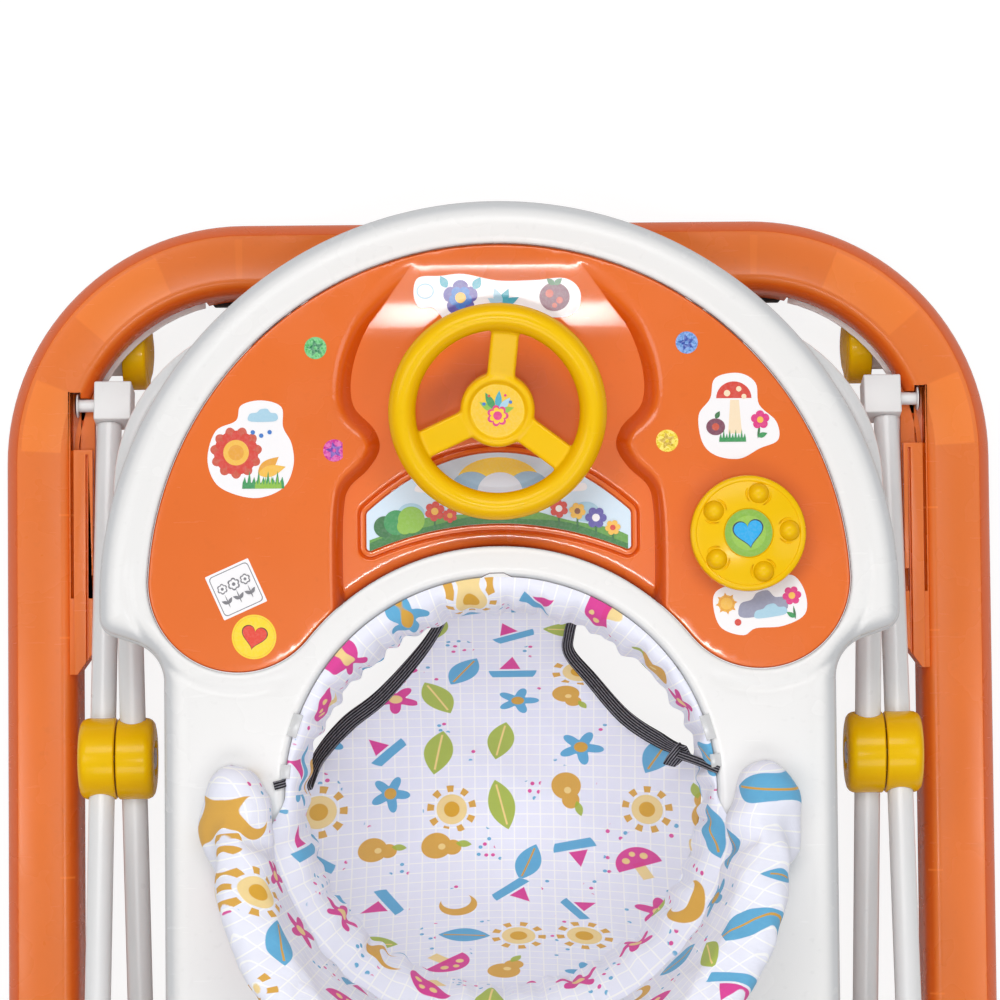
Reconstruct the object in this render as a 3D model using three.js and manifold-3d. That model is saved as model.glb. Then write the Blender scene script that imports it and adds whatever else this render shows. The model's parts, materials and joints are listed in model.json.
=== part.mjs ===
// A folding baby walker at its lowest height: a base ring on casters, a scissor frame of two
// bent tubes, and a tray with a toy panel, a backrest and a hanging seat.
//
// Millimetres. +Z is up, +Y the front and +X the right side seen from above, as the toys face
// the child. The origin is on the floor under the middle of the base.

import * as THREE from 'three';
import { mergeVertices } from 'three/addons/utils/BufferGeometryUtils.js';
import Module from 'manifold-3d';

const wasm = await Module();
wasm.setup();

// ---------------------------------------------------------------- driving dimensions

// Clearances
const SEAT_GAP = 0.3; // between pieces that rest on or in each other
const RUN_GAP = 0.6; // between pieces that slide or turn past each other

// Base ring
const BASE_WIDTH = 620;
const BASE_LENGTH = 670;
const BASE_CORNER_RADIUS = 150;
const BASE_BAND = 45; // width of the ring seen from above
const BASE_TOP = 74; // height of its top above the floor
const BASE_RIM = 30; // height of its lower edge above the floor
const BASE_WALL = 3;
const BASE_SLOPE_WIDTH = 7.6; // sloped band along the outer edge
const BASE_SLOPE_DROP = 11;
const BASE_ROUND = 8; // rounding along the inner edge
const CORNER_PLATE_THICKNESS = 2.4;
const CORNER_PLATE_LEDGE = 3; // how far it shows past the ring's inner edge
const STOPPER_X = 165; // middle of a rubber stopper pad under the front arch
const STOPPER_SIZE = [34, 18, 11];
const STOPPER_LEDGE = 3; // how far a pad shows past the ring's inner edge

// Casters
const WHEEL_RADIUS = 24;
const WHEEL_WIDTH = 18.5;
const WHEEL_DOME = 3.5; // bulge of a wheel's outer face
const CASTER_TRAIL = 20;
const CASTER_WEB = 15; // thickness of the hood between the two wheels
const CASTER_STEM_RADIUS = 4;
const CASTER_STEM_LENGTH = 14;
const CASTER_AXLE_RADIUS = 3;
const CASTER_ANGLE = 47; // place of a corner caster on the corner's arc
const CASTER_HEADROOM = 5; // free height over the wheels under the arches of the base
const CASTER_ARCH_MARGIN = 12; // free width round the circle that the wheels sweep

// Scissor frame
const LOWER_PIN_HEIGHT = 68;
const PIN_SETBACK = 114; // lower pins inside the base's ends at rest
const ARM_UPPER = 265.5; // middle pivot to crossbar
const FOLDED_ANGLE = 12.75; // slope of the arms at rest, in degrees
const RAISED_ANGLE = 43.5; // slope at full height
const TUBE_RADIUS = 7.95;
const TUBE_WALL = 1.2;
const BEND_RADIUS = 101;
const LEG_CLEARANCE = 20.4; // base's inner face to the centreline of an outer leg
const LEG_SPACING = 19.2; // between the centrelines of an outer and an inner leg
const HOUSING_RADIUS = 25;
const HOUSING_WIDTH = 22.8;
const HOUSING_GAP = 1; // between the two housings of a side
const BOLT_RADIUS = 4;
const BOLT_HEAD_RADIUS = 7;
const BOLT_HEAD_THICKNESS = 3;
const BLOCK_SIZE = 25; // end block along and across its tube
const BLOCK_WIDTH = 23.4; // end block along the pin
const PLUG_LENGTH = 18; // part of an end block inside its tube
const PIN_RADIUS = 4;
const PIN_HEAD_RADIUS = 7.5;
const PIN_HEAD_THICKNESS = 3.5;

// Height rails and rear bosses, moulded on the inner sides of the base
const RAIL_FACE_GAP = 1; // between a sliding block and its rail
const RAIL_LIP = 9; // thickness of the slotted lip
const RAIL_ROOF = 3.5;
const RAIL_FLOOR = 3.5;
const RAIL_TAIL = 56; // rail behind the last place of the pin
const RAIL_MOUTH = 29; // open stretch behind the pin where its head goes in
const REAR_BOSS_LENGTH = 28;
const REAR_BOSS_HEIGHT = 28;

// Tray frame, in heights measured from its top
const TRAY_RISE = 30.4; // tray top above the crossbars' centreline
const TRAY_DEPTH = 23.5;
const TRAY_WALL = 3;
const TRAY_DECK = 3.5; // thickness of its top
const TRAY_EDGE_ROUND = 7;
const TRAY_ARC_INSET = 5.6; // front arc inside the centrelines of the outer legs
const TRAY_ARC_Y = 94.5; // centre of the front arc
const TRAY_RIM = 30.5; // from the panel to the outside of the front arc
const TRAY_REAR_Y = -284;
const TRAY_REAR_CORNER = 50;
const EAR_REACH = 38.5; // how far the ears stand out from the tray's sides
const EAR_TIP_Y = 77;
const EAR_ROOT_Y = 64;
const EAR_TIP_RADIUS = 12;
const EAR_ROOT_RADIUS = 24;
const SEAT_HOLE_RADIUS = 127.5;
const SEAT_HOLE_Y = -20;

// Toy panel
const PANEL_ARC_Y = 97;
const PANEL_LOBE_RADIUS = 53.3;
const PANEL_INNER_RADIUS = 146; // about the seat hole's centre
const PANEL_DROP = 3.5; // panel top below the tray top
const PANEL_THICKNESS = 3.5;
const PANEL_LEDGE = 6; // overlap of panel and ledge
const DASH_WALL = 2.4;
const DASH_FADE_Y = 300; // where the sunken dashboard begins
const DASH_BEND_Y = 257;
const DASH_BEND_DEPTH = 3;
const DASH_REAR_Y = 100;
const DASH_REAR_DEPTH = 14;
const DASH_HALF_OUTLINE = [ // right half of the waisted outline, from the rear to the front
  [92, 80], [92, 140], [85, 161], [71, 176], [70, 192], [83, 208], [86, 230], [76, 262], [50, 293],
];
const WINDOW_HALF_WIDTH = 79;
const WINDOW_THICKNESS = 1;
const WINDOW_FRONT_Y = 182;
const WINDOW_REAR_Y = 139.2;
const WINDOW_FRONT_RISE = 35.5; // how far the front edge's ends lie behind its middle
const WINDOW_REAR_RISE = 16.8;

// Steering wheel
const STEERING_Y = 203;
const STEERING_HEIGHT = 31; // ring centre above the tray top
const STEERING_TILT = 12; // degrees towards the child
const STEERING_RING_RADIUS = 56;
const STEERING_RIM_RADIUS = 8.1;
const STEERING_DISH = 10; // hub below the ring's plane
const STEERING_HUB_RADIUS = 22;
const STEERING_HUB_HEIGHT = 13;
const STEERING_SPOKE_WIDTH = 16.5;
const STEERING_SPOKE_THICKNESS = 8;
const STEERING_SPOKE_START = 84; // degrees, one spoke nearly straight ahead
const STEERING_COLUMN_RADIUS = 12;
const STEERING_SPINDLE_RADIUS = 4;
const STEERING_CAP_RADIUS = 15;
const STEERING_CAP_THICKNESS = 2;

// Rattle disc
const RATTLE_INSET = 61.5; // disc's centre inside the panel's edge
const RATTLE_Y = 131.4;
const RATTLE_RADIUS = 34.2;
const RATTLE_THICKNESS = 8;
const RATTLE_CROWN = 2.5;
const RATTLE_BUMPS = 5;
const RATTLE_BUMP_RADIUS = 6.8;
const RATTLE_BUMP_CIRCLE = 24;
const RATTLE_FIRST_BUMP = 3; // degrees
const RATTLE_POST_RADIUS = 8;
const RATTLE_POST_HEIGHT = 8.5;
const RATTLE_SPINDLE_RADIUS = 3.5;
const RATTLE_SPINDLE_LENGTH = 5;

// What holds the crossbars under the tray
const TRACK_X = 120;
const TRACK_THICKNESS = 6;
const TRACK_LIP = 5; // material round the slot
const SADDLE_X = 90;
const SADDLE_WIDTH = 24;
const SADDLE_LENGTH = 28;
const SADDLE_FLOOR = 4;

// Backrest, in radii about the seat hole's centre
const BACKREST_RADIUS = 152;
const BACKREST_WALL = 4;
const BACKREST_HEIGHT = 122;
const BACKREST_END_HEIGHT = 9;
const BACKREST_END_ANGLE = 7; // its ends reach this far in front of the hole's centre
const BACKREST_LEAN = 0.2; // outwards for each unit of height
const PAD_INNER = 15;
const PAD_OUTER = 9;
const PAD_TOP = 9;

// Seat
const SEAT_CLOTH = 2.6;
const SEAT_DEPTH = 193; // lowest point below the tray top
const SEAT_BAND_RADIUS = 118.5; // lower edge of the cloth band round the hole
const SEAT_BAND_DEPTH = 30;
const SEAT_FULLNESS = 2.2; // 2 gives an ellipse below the band, more a fuller bowl
const LEG_OPENINGS = [
  { from: 12, to: 68, narrowest: 89 },
  { from: 106, to: 178, narrowest: 93 },
];

// ---------------------------------------------------------------- derived places

const radians = THREE.MathUtils.degToRad;
const slopeSin = Math.sin(radians(FOLDED_ANGLE));
const slopeCos = Math.cos(radians(FOLDED_ANGLE));
const raisedCos = Math.cos(radians(RAISED_ANGLE));

const baseInnerX = BASE_WIDTH / 2 - BASE_BAND;
const baseInnerY = BASE_LENGTH / 2 - BASE_BAND;
const outerLegX = baseInnerX - LEG_CLEARANCE;
const innerLegX = outerLegX - LEG_SPACING;
const lowerPinY = BASE_LENGTH / 2 - PIN_SETBACK;
const armLower = lowerPinY / slopeCos; // middle pivot to lower pin
const pivotHeight = LOWER_PIN_HEIGHT + armLower * slopeSin;
const crossbarY = ARM_UPPER * slopeCos;
const crossbarHeight = pivotHeight + ARM_UPPER * slopeSin;
const pinTravel = 2 * armLower * (slopeCos - raisedCos);
const crossbarTravel = 2 * ARM_UPPER * (slopeCos - raisedCos);
const trayTop = crossbarHeight + TRAY_RISE;

const trayArcRadius = outerLegX - TRAY_ARC_INSET;
const traySideX = trayArcRadius - EAR_REACH;
const panelRadius = trayArcRadius - TRAY_RIM;
const rattleX = panelRadius - RATTLE_INSET;
const casterReach = Math.hypot(CASTER_WEB / 2 + SEAT_GAP + WHEEL_WIDTH, CASTER_TRAIL + WHEEL_RADIUS);
const archRadius = casterReach + CASTER_ARCH_MARGIN;
const archHeight = 2 * WHEEL_RADIUS + CASTER_HEADROOM;
const DISC_STEP = 7.5; // degrees between the corners of a faceted disc or hole
const holeFlat = SEAT_HOLE_RADIUS * Math.cos(radians(DISC_STEP / 2)); // the hole's radius at its flats

// ---------------------------------------------------------------- helpers

const plastic = (color, roughness = 0.35) => (
  new THREE.MeshStandardMaterial({ color, roughness, metalness: 0 })
);
const steel = () => new THREE.MeshStandardMaterial({ color: '#c9c9cc', roughness: 0.3, metalness: 1 });
const ORANGE = '#e9763a';
const WHITE = '#f0efee';
const YELLOW = '#edbd08';
const CLOTH = '#e0e3f7';

// A closed solid for joining and cutting.
function solid(geometry) {
  const bare = new THREE.BufferGeometry();
  bare.setAttribute('position', geometry.getAttribute('position'));
  if (geometry.index) bare.setIndex(geometry.index);
  const merged = mergeVertices(bare, 1e-4);
  const vertProperties = Float32Array.from(merged.getAttribute('position').array);
  const triVerts = Uint32Array.from(merged.index.array);
  return new wasm.Manifold(new wasm.Mesh({ numProp: 3, vertProperties, triVerts }));
}

function geometryOf(body) {
  const mesh = body.getMesh();
  const geometry = new THREE.BufferGeometry();
  geometry.setAttribute('position', new THREE.BufferAttribute(mesh.vertProperties, 3));
  geometry.setIndex(new THREE.BufferAttribute(mesh.triVerts, 1));
  geometry.computeVertexNormals();
  return geometry;
}

const join = (...geometries) => geometryOf(geometries.map(solid).reduce((sum, body) => sum.add(body)));
const common = (a, b) => geometryOf(solid(a).intersect(solid(b)));

function cut(geometry, ...tools) {
  return geometryOf(tools.reduce((rest, tool) => rest.subtract(solid(tool)), solid(geometry)));
}

const moved = (geometry, x, y, z) => geometry.clone().translate(x, y, z);
const mirrored = (side, x) => (side === 'left' ? -x : x);

// A box between two opposite corners.
function boxBetween([x0, y0, z0], [x1, y1, z1]) {
  const box = new THREE.BoxGeometry(Math.abs(x1 - x0), Math.abs(y1 - y0), Math.abs(z1 - z0));
  return box.translate((x0 + x1) / 2, (y0 + y1) / 2, (z0 + z1) / 2);
}

// Cylinders along X and Z between two places.
function rodX(radius, x0, x1, y = 0, z = 0, segments = 16) {
  const rod = new THREE.CylinderGeometry(radius, radius, Math.abs(x1 - x0), segments).rotateZ(Math.PI / 2);
  return rod.translate((x0 + x1) / 2, y, z);
}

function rodZ(radius, z0, z1, x = 0, y = 0, segments = 20) {
  const rod = new THREE.CylinderGeometry(radius, radius, Math.abs(z1 - z0), segments).rotateX(Math.PI / 2);
  return rod.translate(x, y, (z0 + z1) / 2);
}

// A body of revolution about Z from points [radius, height].
function turned(profile, segments = 32) {
  const points = profile.map(([r, z]) => new THREE.Vector2(r, z));
  return geometryOf(solid(outward(new THREE.LatheGeometry(points, segments).rotateX(Math.PI / 2))));
}

function outward(geometry) {
  const position = geometry.getAttribute('position');
  const index = geometry.index;
  const corners = [new THREE.Vector3(), new THREE.Vector3(), new THREE.Vector3()];
  let volume = 0;
  for (let i = 0; i < index.count; i += 3) {
    corners.forEach((corner, k) => corner.fromBufferAttribute(position, index.getX(i + k)));
    volume += corners[0].dot(corners[1].clone().cross(corners[2]));
  }
  if (volume < 0) {
    for (let i = 0; i < index.count; i += 3) {
      const second = index.getX(i + 1);
      index.setX(i + 1, index.getX(i + 2));
      index.setX(i + 2, second);
    }
  }
  return geometry;
}

// A closed skin through sections of equal point counts. place(section, point) gives the vertex.
function skin(sections, place, closed = false) {
  const count = sections[0].length;
  const positions = sections.flatMap((section, i) => section.flatMap((point) => place(i, point).toArray()));
  const index = [];
  const spans = closed ? sections.length : sections.length - 1;
  for (let i = 0; i < spans; i++) {
    const next = (i + 1) % sections.length;
    for (let j = 0; j < count; j++) {
      const k = (j + 1) % count;
      index.push(i * count + j, next * count + j, i * count + k);
      index.push(i * count + k, next * count + j, next * count + k);
    }
  }
  if (!closed) {
    const last = (sections.length - 1) * count;
    for (const [a, b, c] of capFaces(sections[0])) index.push(a, b, c);
    for (const [a, b, c] of capFaces(sections[sections.length - 1])) {
      index.push(last + a, last + c, last + b);
    }
  }
  const geometry = new THREE.BufferGeometry();
  geometry.setAttribute('position', new THREE.Float32BufferAttribute(positions, 3));
  geometry.setIndex(index);
  return outward(geometry);
}

// Triangles of a flat section, turned the way that its outline runs.
function capFaces(section) {
  const outline = section.map(([u, v]) => new THREE.Vector2(u, v));
  const clockwise = THREE.ShapeUtils.isClockWise(outline);
  return THREE.ShapeUtils.triangulateShape(outline, []).map(([a, b, c]) => {
    const faceClockwise = THREE.ShapeUtils.isClockWise([outline[a], outline[b], outline[c]]);
    return faceClockwise === clockwise ? [a, b, c] : [a, c, b];
  });
}

// Points of an arc in degrees about (x, y).
function arcPoints(x, y, radius, from, to, step = 6) {
  const count = Math.max(2, Math.ceil(Math.abs(to - from) / step));
  return Array.from({ length: count + 1 }, (_, i) => {
    const angle = radians(from + ((to - from) * i) / count);
    return [x + radius * Math.cos(angle), y + radius * Math.sin(angle)];
  });
}

// Points that round the corner between two straight edges.
function filletPoints(before, corner, after, radius, steps = 5) {
  const at = new THREE.Vector2(...corner);
  const back = new THREE.Vector2(...before).sub(at).normalize();
  const ahead = new THREE.Vector2(...after).sub(at).normalize();
  const half = Math.acos(THREE.MathUtils.clamp(back.dot(ahead), -1, 1)) / 2;
  const reach = radius / Math.tan(half);
  const centre = back.clone().add(ahead).normalize().multiplyScalar(radius / Math.sin(half)).add(at);
  const first = at.clone().addScaledVector(back, reach).sub(centre);
  const last = at.clone().addScaledVector(ahead, reach).sub(centre);
  const turn = Math.atan2(first.cross(last), first.dot(last));
  return Array.from({ length: steps + 1 }, (_, i) => {
    const point = first.clone().rotateAround(new THREE.Vector2(), (turn * i) / steps).add(centre);
    return [point.x, point.y];
  });
}

const mirrorPoints = (points) => points.map(([x, y]) => [-x, y]).reverse();
const shapeOf = (points) => new THREE.Shape(points.map(([x, y]) => new THREE.Vector2(x, y)));
const discShape = (radius, y = 0, step = DISC_STEP) => (
  shapeOf(arcPoints(0, y, radius, 0, 360 - step, step))
);

// A shape raised from z0 to z1, with its outline moved in or out by `grow`.
function raised(shape, z0, z1, grow = 0) {
  const options = { depth: z1 - z0, bevelEnabled: grow !== 0, curveSegments: 12, steps: 1 };
  Object.assign(options, { bevelThickness: 0, bevelSize: 0, bevelOffset: grow, bevelSegments: 1 });
  return new THREE.ExtrudeGeometry(shape, options).translate(0, 0, z0);
}

// A profile of [y, z] points raised from x0 to x1.
function standing(profile, x0, x1) {
  return raised(profile, x0, x1).rotateX(Math.PI / 2).rotateZ(Math.PI / 2);
}

const group = new THREE.Group();

function add(parent, name, geometry, material) {
  const mesh = new THREE.Mesh(geometry, material);
  mesh.name = name;
  parent.add(mesh);
  return mesh;
}

// ---------------------------------------------------------------- base ring

// Outline of the base, `inset` inside its outer edge, as points with the corners rounded.
function baseOutline(inset) {
  const radius = BASE_CORNER_RADIUS - inset;
  const centreX = BASE_WIDTH / 2 - BASE_CORNER_RADIUS;
  const centreY = BASE_LENGTH / 2 - BASE_CORNER_RADIUS;
  const right = [
    ...arcPoints(centreX, -centreY, radius, 270, 360, 9),
    ...arcPoints(centreX, centreY, radius, 0, 90, 9),
  ];
  return [...right, ...right.map(([x, y]) => [-x, -y])];
}

// Places of the six casters: four on the corners' arcs and one in the middle of each end.
function casterPlaces() {
  const arm = BASE_CORNER_RADIUS - BASE_BAND / 2;
  const x = BASE_WIDTH / 2 - BASE_CORNER_RADIUS + arm * Math.cos(radians(CASTER_ANGLE));
  const y = BASE_LENGTH / 2 - BASE_CORNER_RADIUS + arm * Math.sin(radians(CASTER_ANGLE));
  const middle = BASE_LENGTH / 2 - BASE_BAND / 2;
  return {
    front_left: [-x, y],
    front_middle: [0, middle],
    front_right: [x, y],
    rear_left: [-x, -y],
    rear_middle: [0, -middle],
    rear_right: [x, -y],
  };
}

function baseRing() {
  const top = BASE_TOP;
  const band = BASE_BAND;
  const wall = BASE_WALL;
  const section = [
    [0, BASE_RIM], [0, top - BASE_SLOPE_DROP], [BASE_SLOPE_WIDTH, top],
    [band - BASE_ROUND, top], [band - BASE_ROUND * 0.3, top - BASE_ROUND * 0.3], [band, top - BASE_ROUND],
    [band, BASE_RIM], [band - wall, BASE_RIM], [band - wall, top - BASE_ROUND],
    [band - BASE_ROUND, top - wall], [BASE_SLOPE_WIDTH + 1, top - wall],
    [wall, top - BASE_SLOPE_DROP - 1], [wall, BASE_RIM],
  ];
  // One ring of vertices for each section point, so that the skin closes round the section.
  const rings = section.map(([inset, z]) => baseOutline(inset).map(([x, y]) => [x, y, z]));
  return skin(rings, (_, [x, y, z]) => new THREE.Vector3(x, y, z), true);
}

const blockOuterX = outerLegX + TUBE_RADIUS + 0.75;
const railFaceX = blockOuterX + RAIL_FACE_GAP;
const pinHeadX = railFaceX + RAIL_LIP + RUN_GAP;
const railBackX = pinHeadX + PIN_HEAD_THICKNESS + 2 * RUN_GAP;
const railTopZ = LOWER_PIN_HEIGHT + PIN_HEAD_RADIUS + RUN_GAP + RAIL_ROOF;
const railBottomZ = LOWER_PIN_HEIGHT - PIN_HEAD_RADIUS - RUN_GAP - RAIL_FLOOR;
const railFrontY = lowerPinY + PIN_HEAD_RADIUS + RUN_GAP;
const railNotchY = lowerPinY - pinTravel;
const railRearY = railNotchY - RAIL_TAIL;
const rearBlockOuterX = innerLegX + BLOCK_WIDTH / 2;

// Outside of a height rail, with its rear end cut at a slant.
function railBody(side) {
  const outline = shapeOf([
    [railFaceX, railFrontY], [railFaceX, railRearY + 14], [railFaceX + 10, railRearY],
    [railBackX + BASE_WALL, railRearY], [railBackX + BASE_WALL, railFrontY],
  ]);
  const body = raised(outline, railBottomZ, railTopZ);
  return side === 'left' ? outward(flipX(body)) : body;
}

function flipX(geometry) {
  const flipped = geometry.clone();
  const corners = flipped.getAttribute('position').count;
  if (!flipped.index) flipped.setIndex(Array.from({ length: corners }, (_, i) => i));
  return outward(flipped.scale(-1, 1, 1));
}

// What is cut out of a rail: the slot for the pin, the room for its head, the open mouth over
// both, and a shallow pocket in the ring's wall beside the sliding block.
function railCuts(side) {
  const slot = PIN_RADIUS + RUN_GAP;
  const room = PIN_HEAD_RADIUS + RUN_GAP;
  const at = (x) => mirrored(side, x);
  const mouthY = lowerPinY - PIN_HEAD_RADIUS - RAIL_MOUTH + 8;
  return [
    boxBetween([at(railFaceX - 1), railNotchY - slot, LOWER_PIN_HEIGHT - slot],
      [at(railFaceX + RAIL_LIP + 1), lowerPinY + slot, LOWER_PIN_HEIGHT + slot]),
    boxBetween([at(railFaceX + RAIL_LIP), railNotchY - room, LOWER_PIN_HEIGHT - room],
      [at(railBackX), lowerPinY + room, LOWER_PIN_HEIGHT + room]),
    boxBetween([at(railFaceX - 1), mouthY, LOWER_PIN_HEIGHT - slot],
      [at(railFaceX + RAIL_LIP), lowerPinY + slot, railTopZ + 1]),
    boxBetween([at(railFaceX + RAIL_LIP - 1), mouthY, LOWER_PIN_HEIGHT],
      [at(railBackX), lowerPinY + room, railTopZ + 1]),
    boxBetween([at(innerLegX), lowerPinY, LOWER_PIN_HEIGHT - 18],
      [at(railFaceX), lowerPinY + BLOCK_SIZE / 2 + 1, LOWER_PIN_HEIGHT]),
  ];
}

function rearBoss(side) {
  const at = (x) => mirrored(side, x);
  const half = REAR_BOSS_LENGTH / 2;
  const low = LOWER_PIN_HEIGHT - REAR_BOSS_HEIGHT / 2;
  return boxBetween([at(rearBlockOuterX + RUN_GAP + RAIL_FACE_GAP), -lowerPinY - half, low],
    [at(baseInnerX + BASE_WALL + 1), -lowerPinY + half, BASE_TOP + 5]);
}

function baseShell() {
  const casters = Object.values(casterPlaces());
  const stemTop = archHeight + CASTER_STEM_LENGTH;
  const sockets = casters.map(([x, y]) =>
    rodZ(CASTER_STEM_RADIUS + 4, archHeight + SEAT_GAP, BASE_TOP - BASE_WALL / 2, x, y));
  const arches = casters.map(([x, y]) => rodZ(archRadius, BASE_RIM - 1, archHeight, x, y, 32));
  const bores = casters.map(([x, y]) =>
    rodZ(CASTER_STEM_RADIUS + SEAT_GAP, archHeight - 1, stemTop + RUN_GAP, x, y));
  const sides = ['left', 'right'];
  const whole = join(baseRing(), ...sides.map(railBody), ...sides.map(rearBoss), ...sockets);
  const pinBores = sides.map((side) => rodX(PIN_RADIUS + SEAT_GAP,
    mirrored(side, rearBlockOuterX), mirrored(side, baseInnerX - 2), -lowerPinY, LOWER_PIN_HEIGHT));
  return cut(whole, ...arches, ...bores, ...sides.flatMap(railCuts), ...pinBores);
}

// White plate under the arch over a front corner caster, with a hole for the caster's stem.
function cornerPlate(side) {
  const [x, y] = casterPlaces().front_right;
  const centreX = BASE_WIDTH / 2 - BASE_CORNER_RADIUS;
  const centreY = BASE_LENGTH / 2 - BASE_CORNER_RADIUS;
  const inner = BASE_CORNER_RADIUS - BASE_BAND - CORNER_PLATE_LEDGE;
  const outer = BASE_CORNER_RADIUS - BASE_WALL;
  const outline = shapeOf([
    ...arcPoints(centreX, centreY, outer, 0, 90, 6),
    ...arcPoints(centreX, centreY, inner, 90, 0, 6),
  ]);
  const top = archHeight - SEAT_GAP;
  const bottom = top - CORNER_PLATE_THICKNESS;
  const plate = cut(common(raised(outline, bottom, top), rodZ(archRadius - RUN_GAP, bottom, top, x, y, 32)),
    rodZ(CASTER_STEM_RADIUS + 9, bottom - 1, top + 1, x, y));
  return side === 'left' ? flipX(plate) : plate;
}

function stopperPad(side) {
  const [width, length, height] = STOPPER_SIZE;
  const y = baseInnerY + length / 2 - STOPPER_LEDGE;
  const x = mirrored(side, STOPPER_X);
  return boxBetween([x - width / 2, y - length / 2, BASE_RIM - SEAT_GAP - height],
    [x + width / 2, y + length / 2, BASE_RIM - SEAT_GAP]);
}

function buildBase() {
  add(group, 'base_shell', baseShell(), plastic(ORANGE));
  for (const side of ['left', 'right']) {
    add(group, `corner_plate_${side}`, cornerPlate(side), plastic(WHITE));
    add(group, `stopper_pad_${side}`, stopperPad(side), plastic('#3b3b3d', 0.85));
  }
}

// ---------------------------------------------------------------- casters

function casterHood() {
  const half = CASTER_WEB / 2;
  const web = shapeOf([
    ...arcPoints(-CASTER_TRAIL, WHEEL_RADIUS, WHEEL_RADIUS * 0.62, 110, 300, 19),
    [CASTER_STEM_RADIUS + 6, archHeight - CASTER_HEADROOM - 6],
    [CASTER_STEM_RADIUS + 6, archHeight - CASTER_HEADROOM],
    [-CASTER_TRAIL * 0.6, archHeight - CASTER_HEADROOM],
  ]);
  const blade = standing(web, -half, half);
  const collar = rodZ(CASTER_STEM_RADIUS + 6, archHeight - CASTER_HEADROOM - 6, archHeight - SEAT_GAP);
  const stem = rodZ(CASTER_STEM_RADIUS, archHeight - CASTER_HEADROOM, archHeight + CASTER_STEM_LENGTH);
  return cut(join(blade, collar, stem),
    rodX(CASTER_AXLE_RADIUS + SEAT_GAP, -half - 1, half + 1, -CASTER_TRAIL, WHEEL_RADIUS));
}

// A wheel with its outer face towards +X, on an axle along X through the origin.
function casterWheel() {
  const bore = CASTER_AXLE_RADIUS + SEAT_GAP;
  const rim = WHEEL_WIDTH - WHEEL_DOME;
  const profile = [
    [0, WHEEL_WIDTH - 4], [bore, WHEEL_WIDTH - 4], [bore, 0], [WHEEL_RADIUS - 2, 0], [WHEEL_RADIUS, 2],
    [WHEEL_RADIUS, rim - 2], [WHEEL_RADIUS - 2, rim],
    [WHEEL_RADIUS * 0.55, WHEEL_WIDTH - 0.8], [0, WHEEL_WIDTH],
  ];
  return turned(profile, 20).rotateY(Math.PI / 2);
}

function buildCaster(place, [x, y]) {
  const inwards = y > 0 ? 0 : Math.PI; // every caster trails towards the middle of the walker
  const caster = new THREE.Group();
  caster.position.set(x, y, 0);
  caster.rotation.z = inwards;
  group.add(caster);
  add(caster, `caster_hood_${place}`, casterHood(), plastic(WHITE));
  const wheels = new THREE.Group();
  wheels.position.set(0, -CASTER_TRAIL, WHEEL_RADIUS);
  caster.add(wheels);
  const face = CASTER_WEB / 2 + SEAT_GAP;
  const reach = face + WHEEL_WIDTH - 4 - SEAT_GAP;
  add(wheels, `caster_axle_${place}`, rodX(CASTER_AXLE_RADIUS, -reach, reach, 0, 0, 16), steel());
  add(wheels, `caster_wheel_${place}_a`, moved(flipX(casterWheel()), -face, 0, 0), plastic(YELLOW));
  add(wheels, `caster_wheel_${place}_b`, moved(casterWheel(), face, 0, 0), plastic(YELLOW));
}

// ---------------------------------------------------------------- scissor frame

// Centreline of a U-shaped tube from one leg's end over the crossbar to the other's, in the
// arm's plane. Steps crowd into the two bends, where the shape needs them.
class BentTube extends THREE.Curve {
  constructor(legX, start, end) {
    super();
    Object.assign(this, { legX, start, end, bendSteps: 8 });
  }

  getPoint(t, target = new THREE.Vector3()) {
    const half = this.steps / 2;
    const along = Math.min(t, 1 - t) * this.steps;
    const side = t <= 0.5 ? -1 : 1;
    const bendEnd = 1 + this.bendSteps;
    const bendY = this.end - BEND_RADIUS;
    if (along <= 1) return target.set(side * this.legX, this.start + (bendY - this.start) * along, 0);
    if (along >= bendEnd) {
      const rest = (half - along) / (half - bendEnd);
      return target.set(side * (this.legX - BEND_RADIUS) * rest, this.end, 0);
    }
    const angle = ((along - 1) / this.bendSteps) * (Math.PI / 2);
    const x = this.legX - BEND_RADIUS * (1 - Math.cos(angle));
    return target.set(side * x, bendY + BEND_RADIUS * Math.sin(angle), 0);
  }

  get steps() {
    return 2 * (this.bendSteps + 1) + 1;
  }

  getPointAt(u, target) {
    return this.getPoint(u, target);
  }

  getTangentAt(u, target) {
    return this.getTangent(u, target);
  }
}

const armStart = -(armLower - BLOCK_SIZE / 2 - SEAT_GAP);

function frameTube(legX) {
  const path = new BentTube(legX, armStart, ARM_UPPER);
  const ring = discShape(TUBE_RADIUS, 0, 24);
  ring.holes.push(new THREE.Path(discShape(TUBE_RADIUS - TUBE_WALL, 0, 36).getPoints()));
  const settings = { steps: path.steps, extrudePath: path, bevelEnabled: false };
  const tube = new THREE.ExtrudeGeometry(ring, settings);
  const reach = legX + TUBE_RADIUS + 1;
  return cut(tube, rodX(BOLT_RADIUS + SEAT_GAP, -reach, reach));
}

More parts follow.
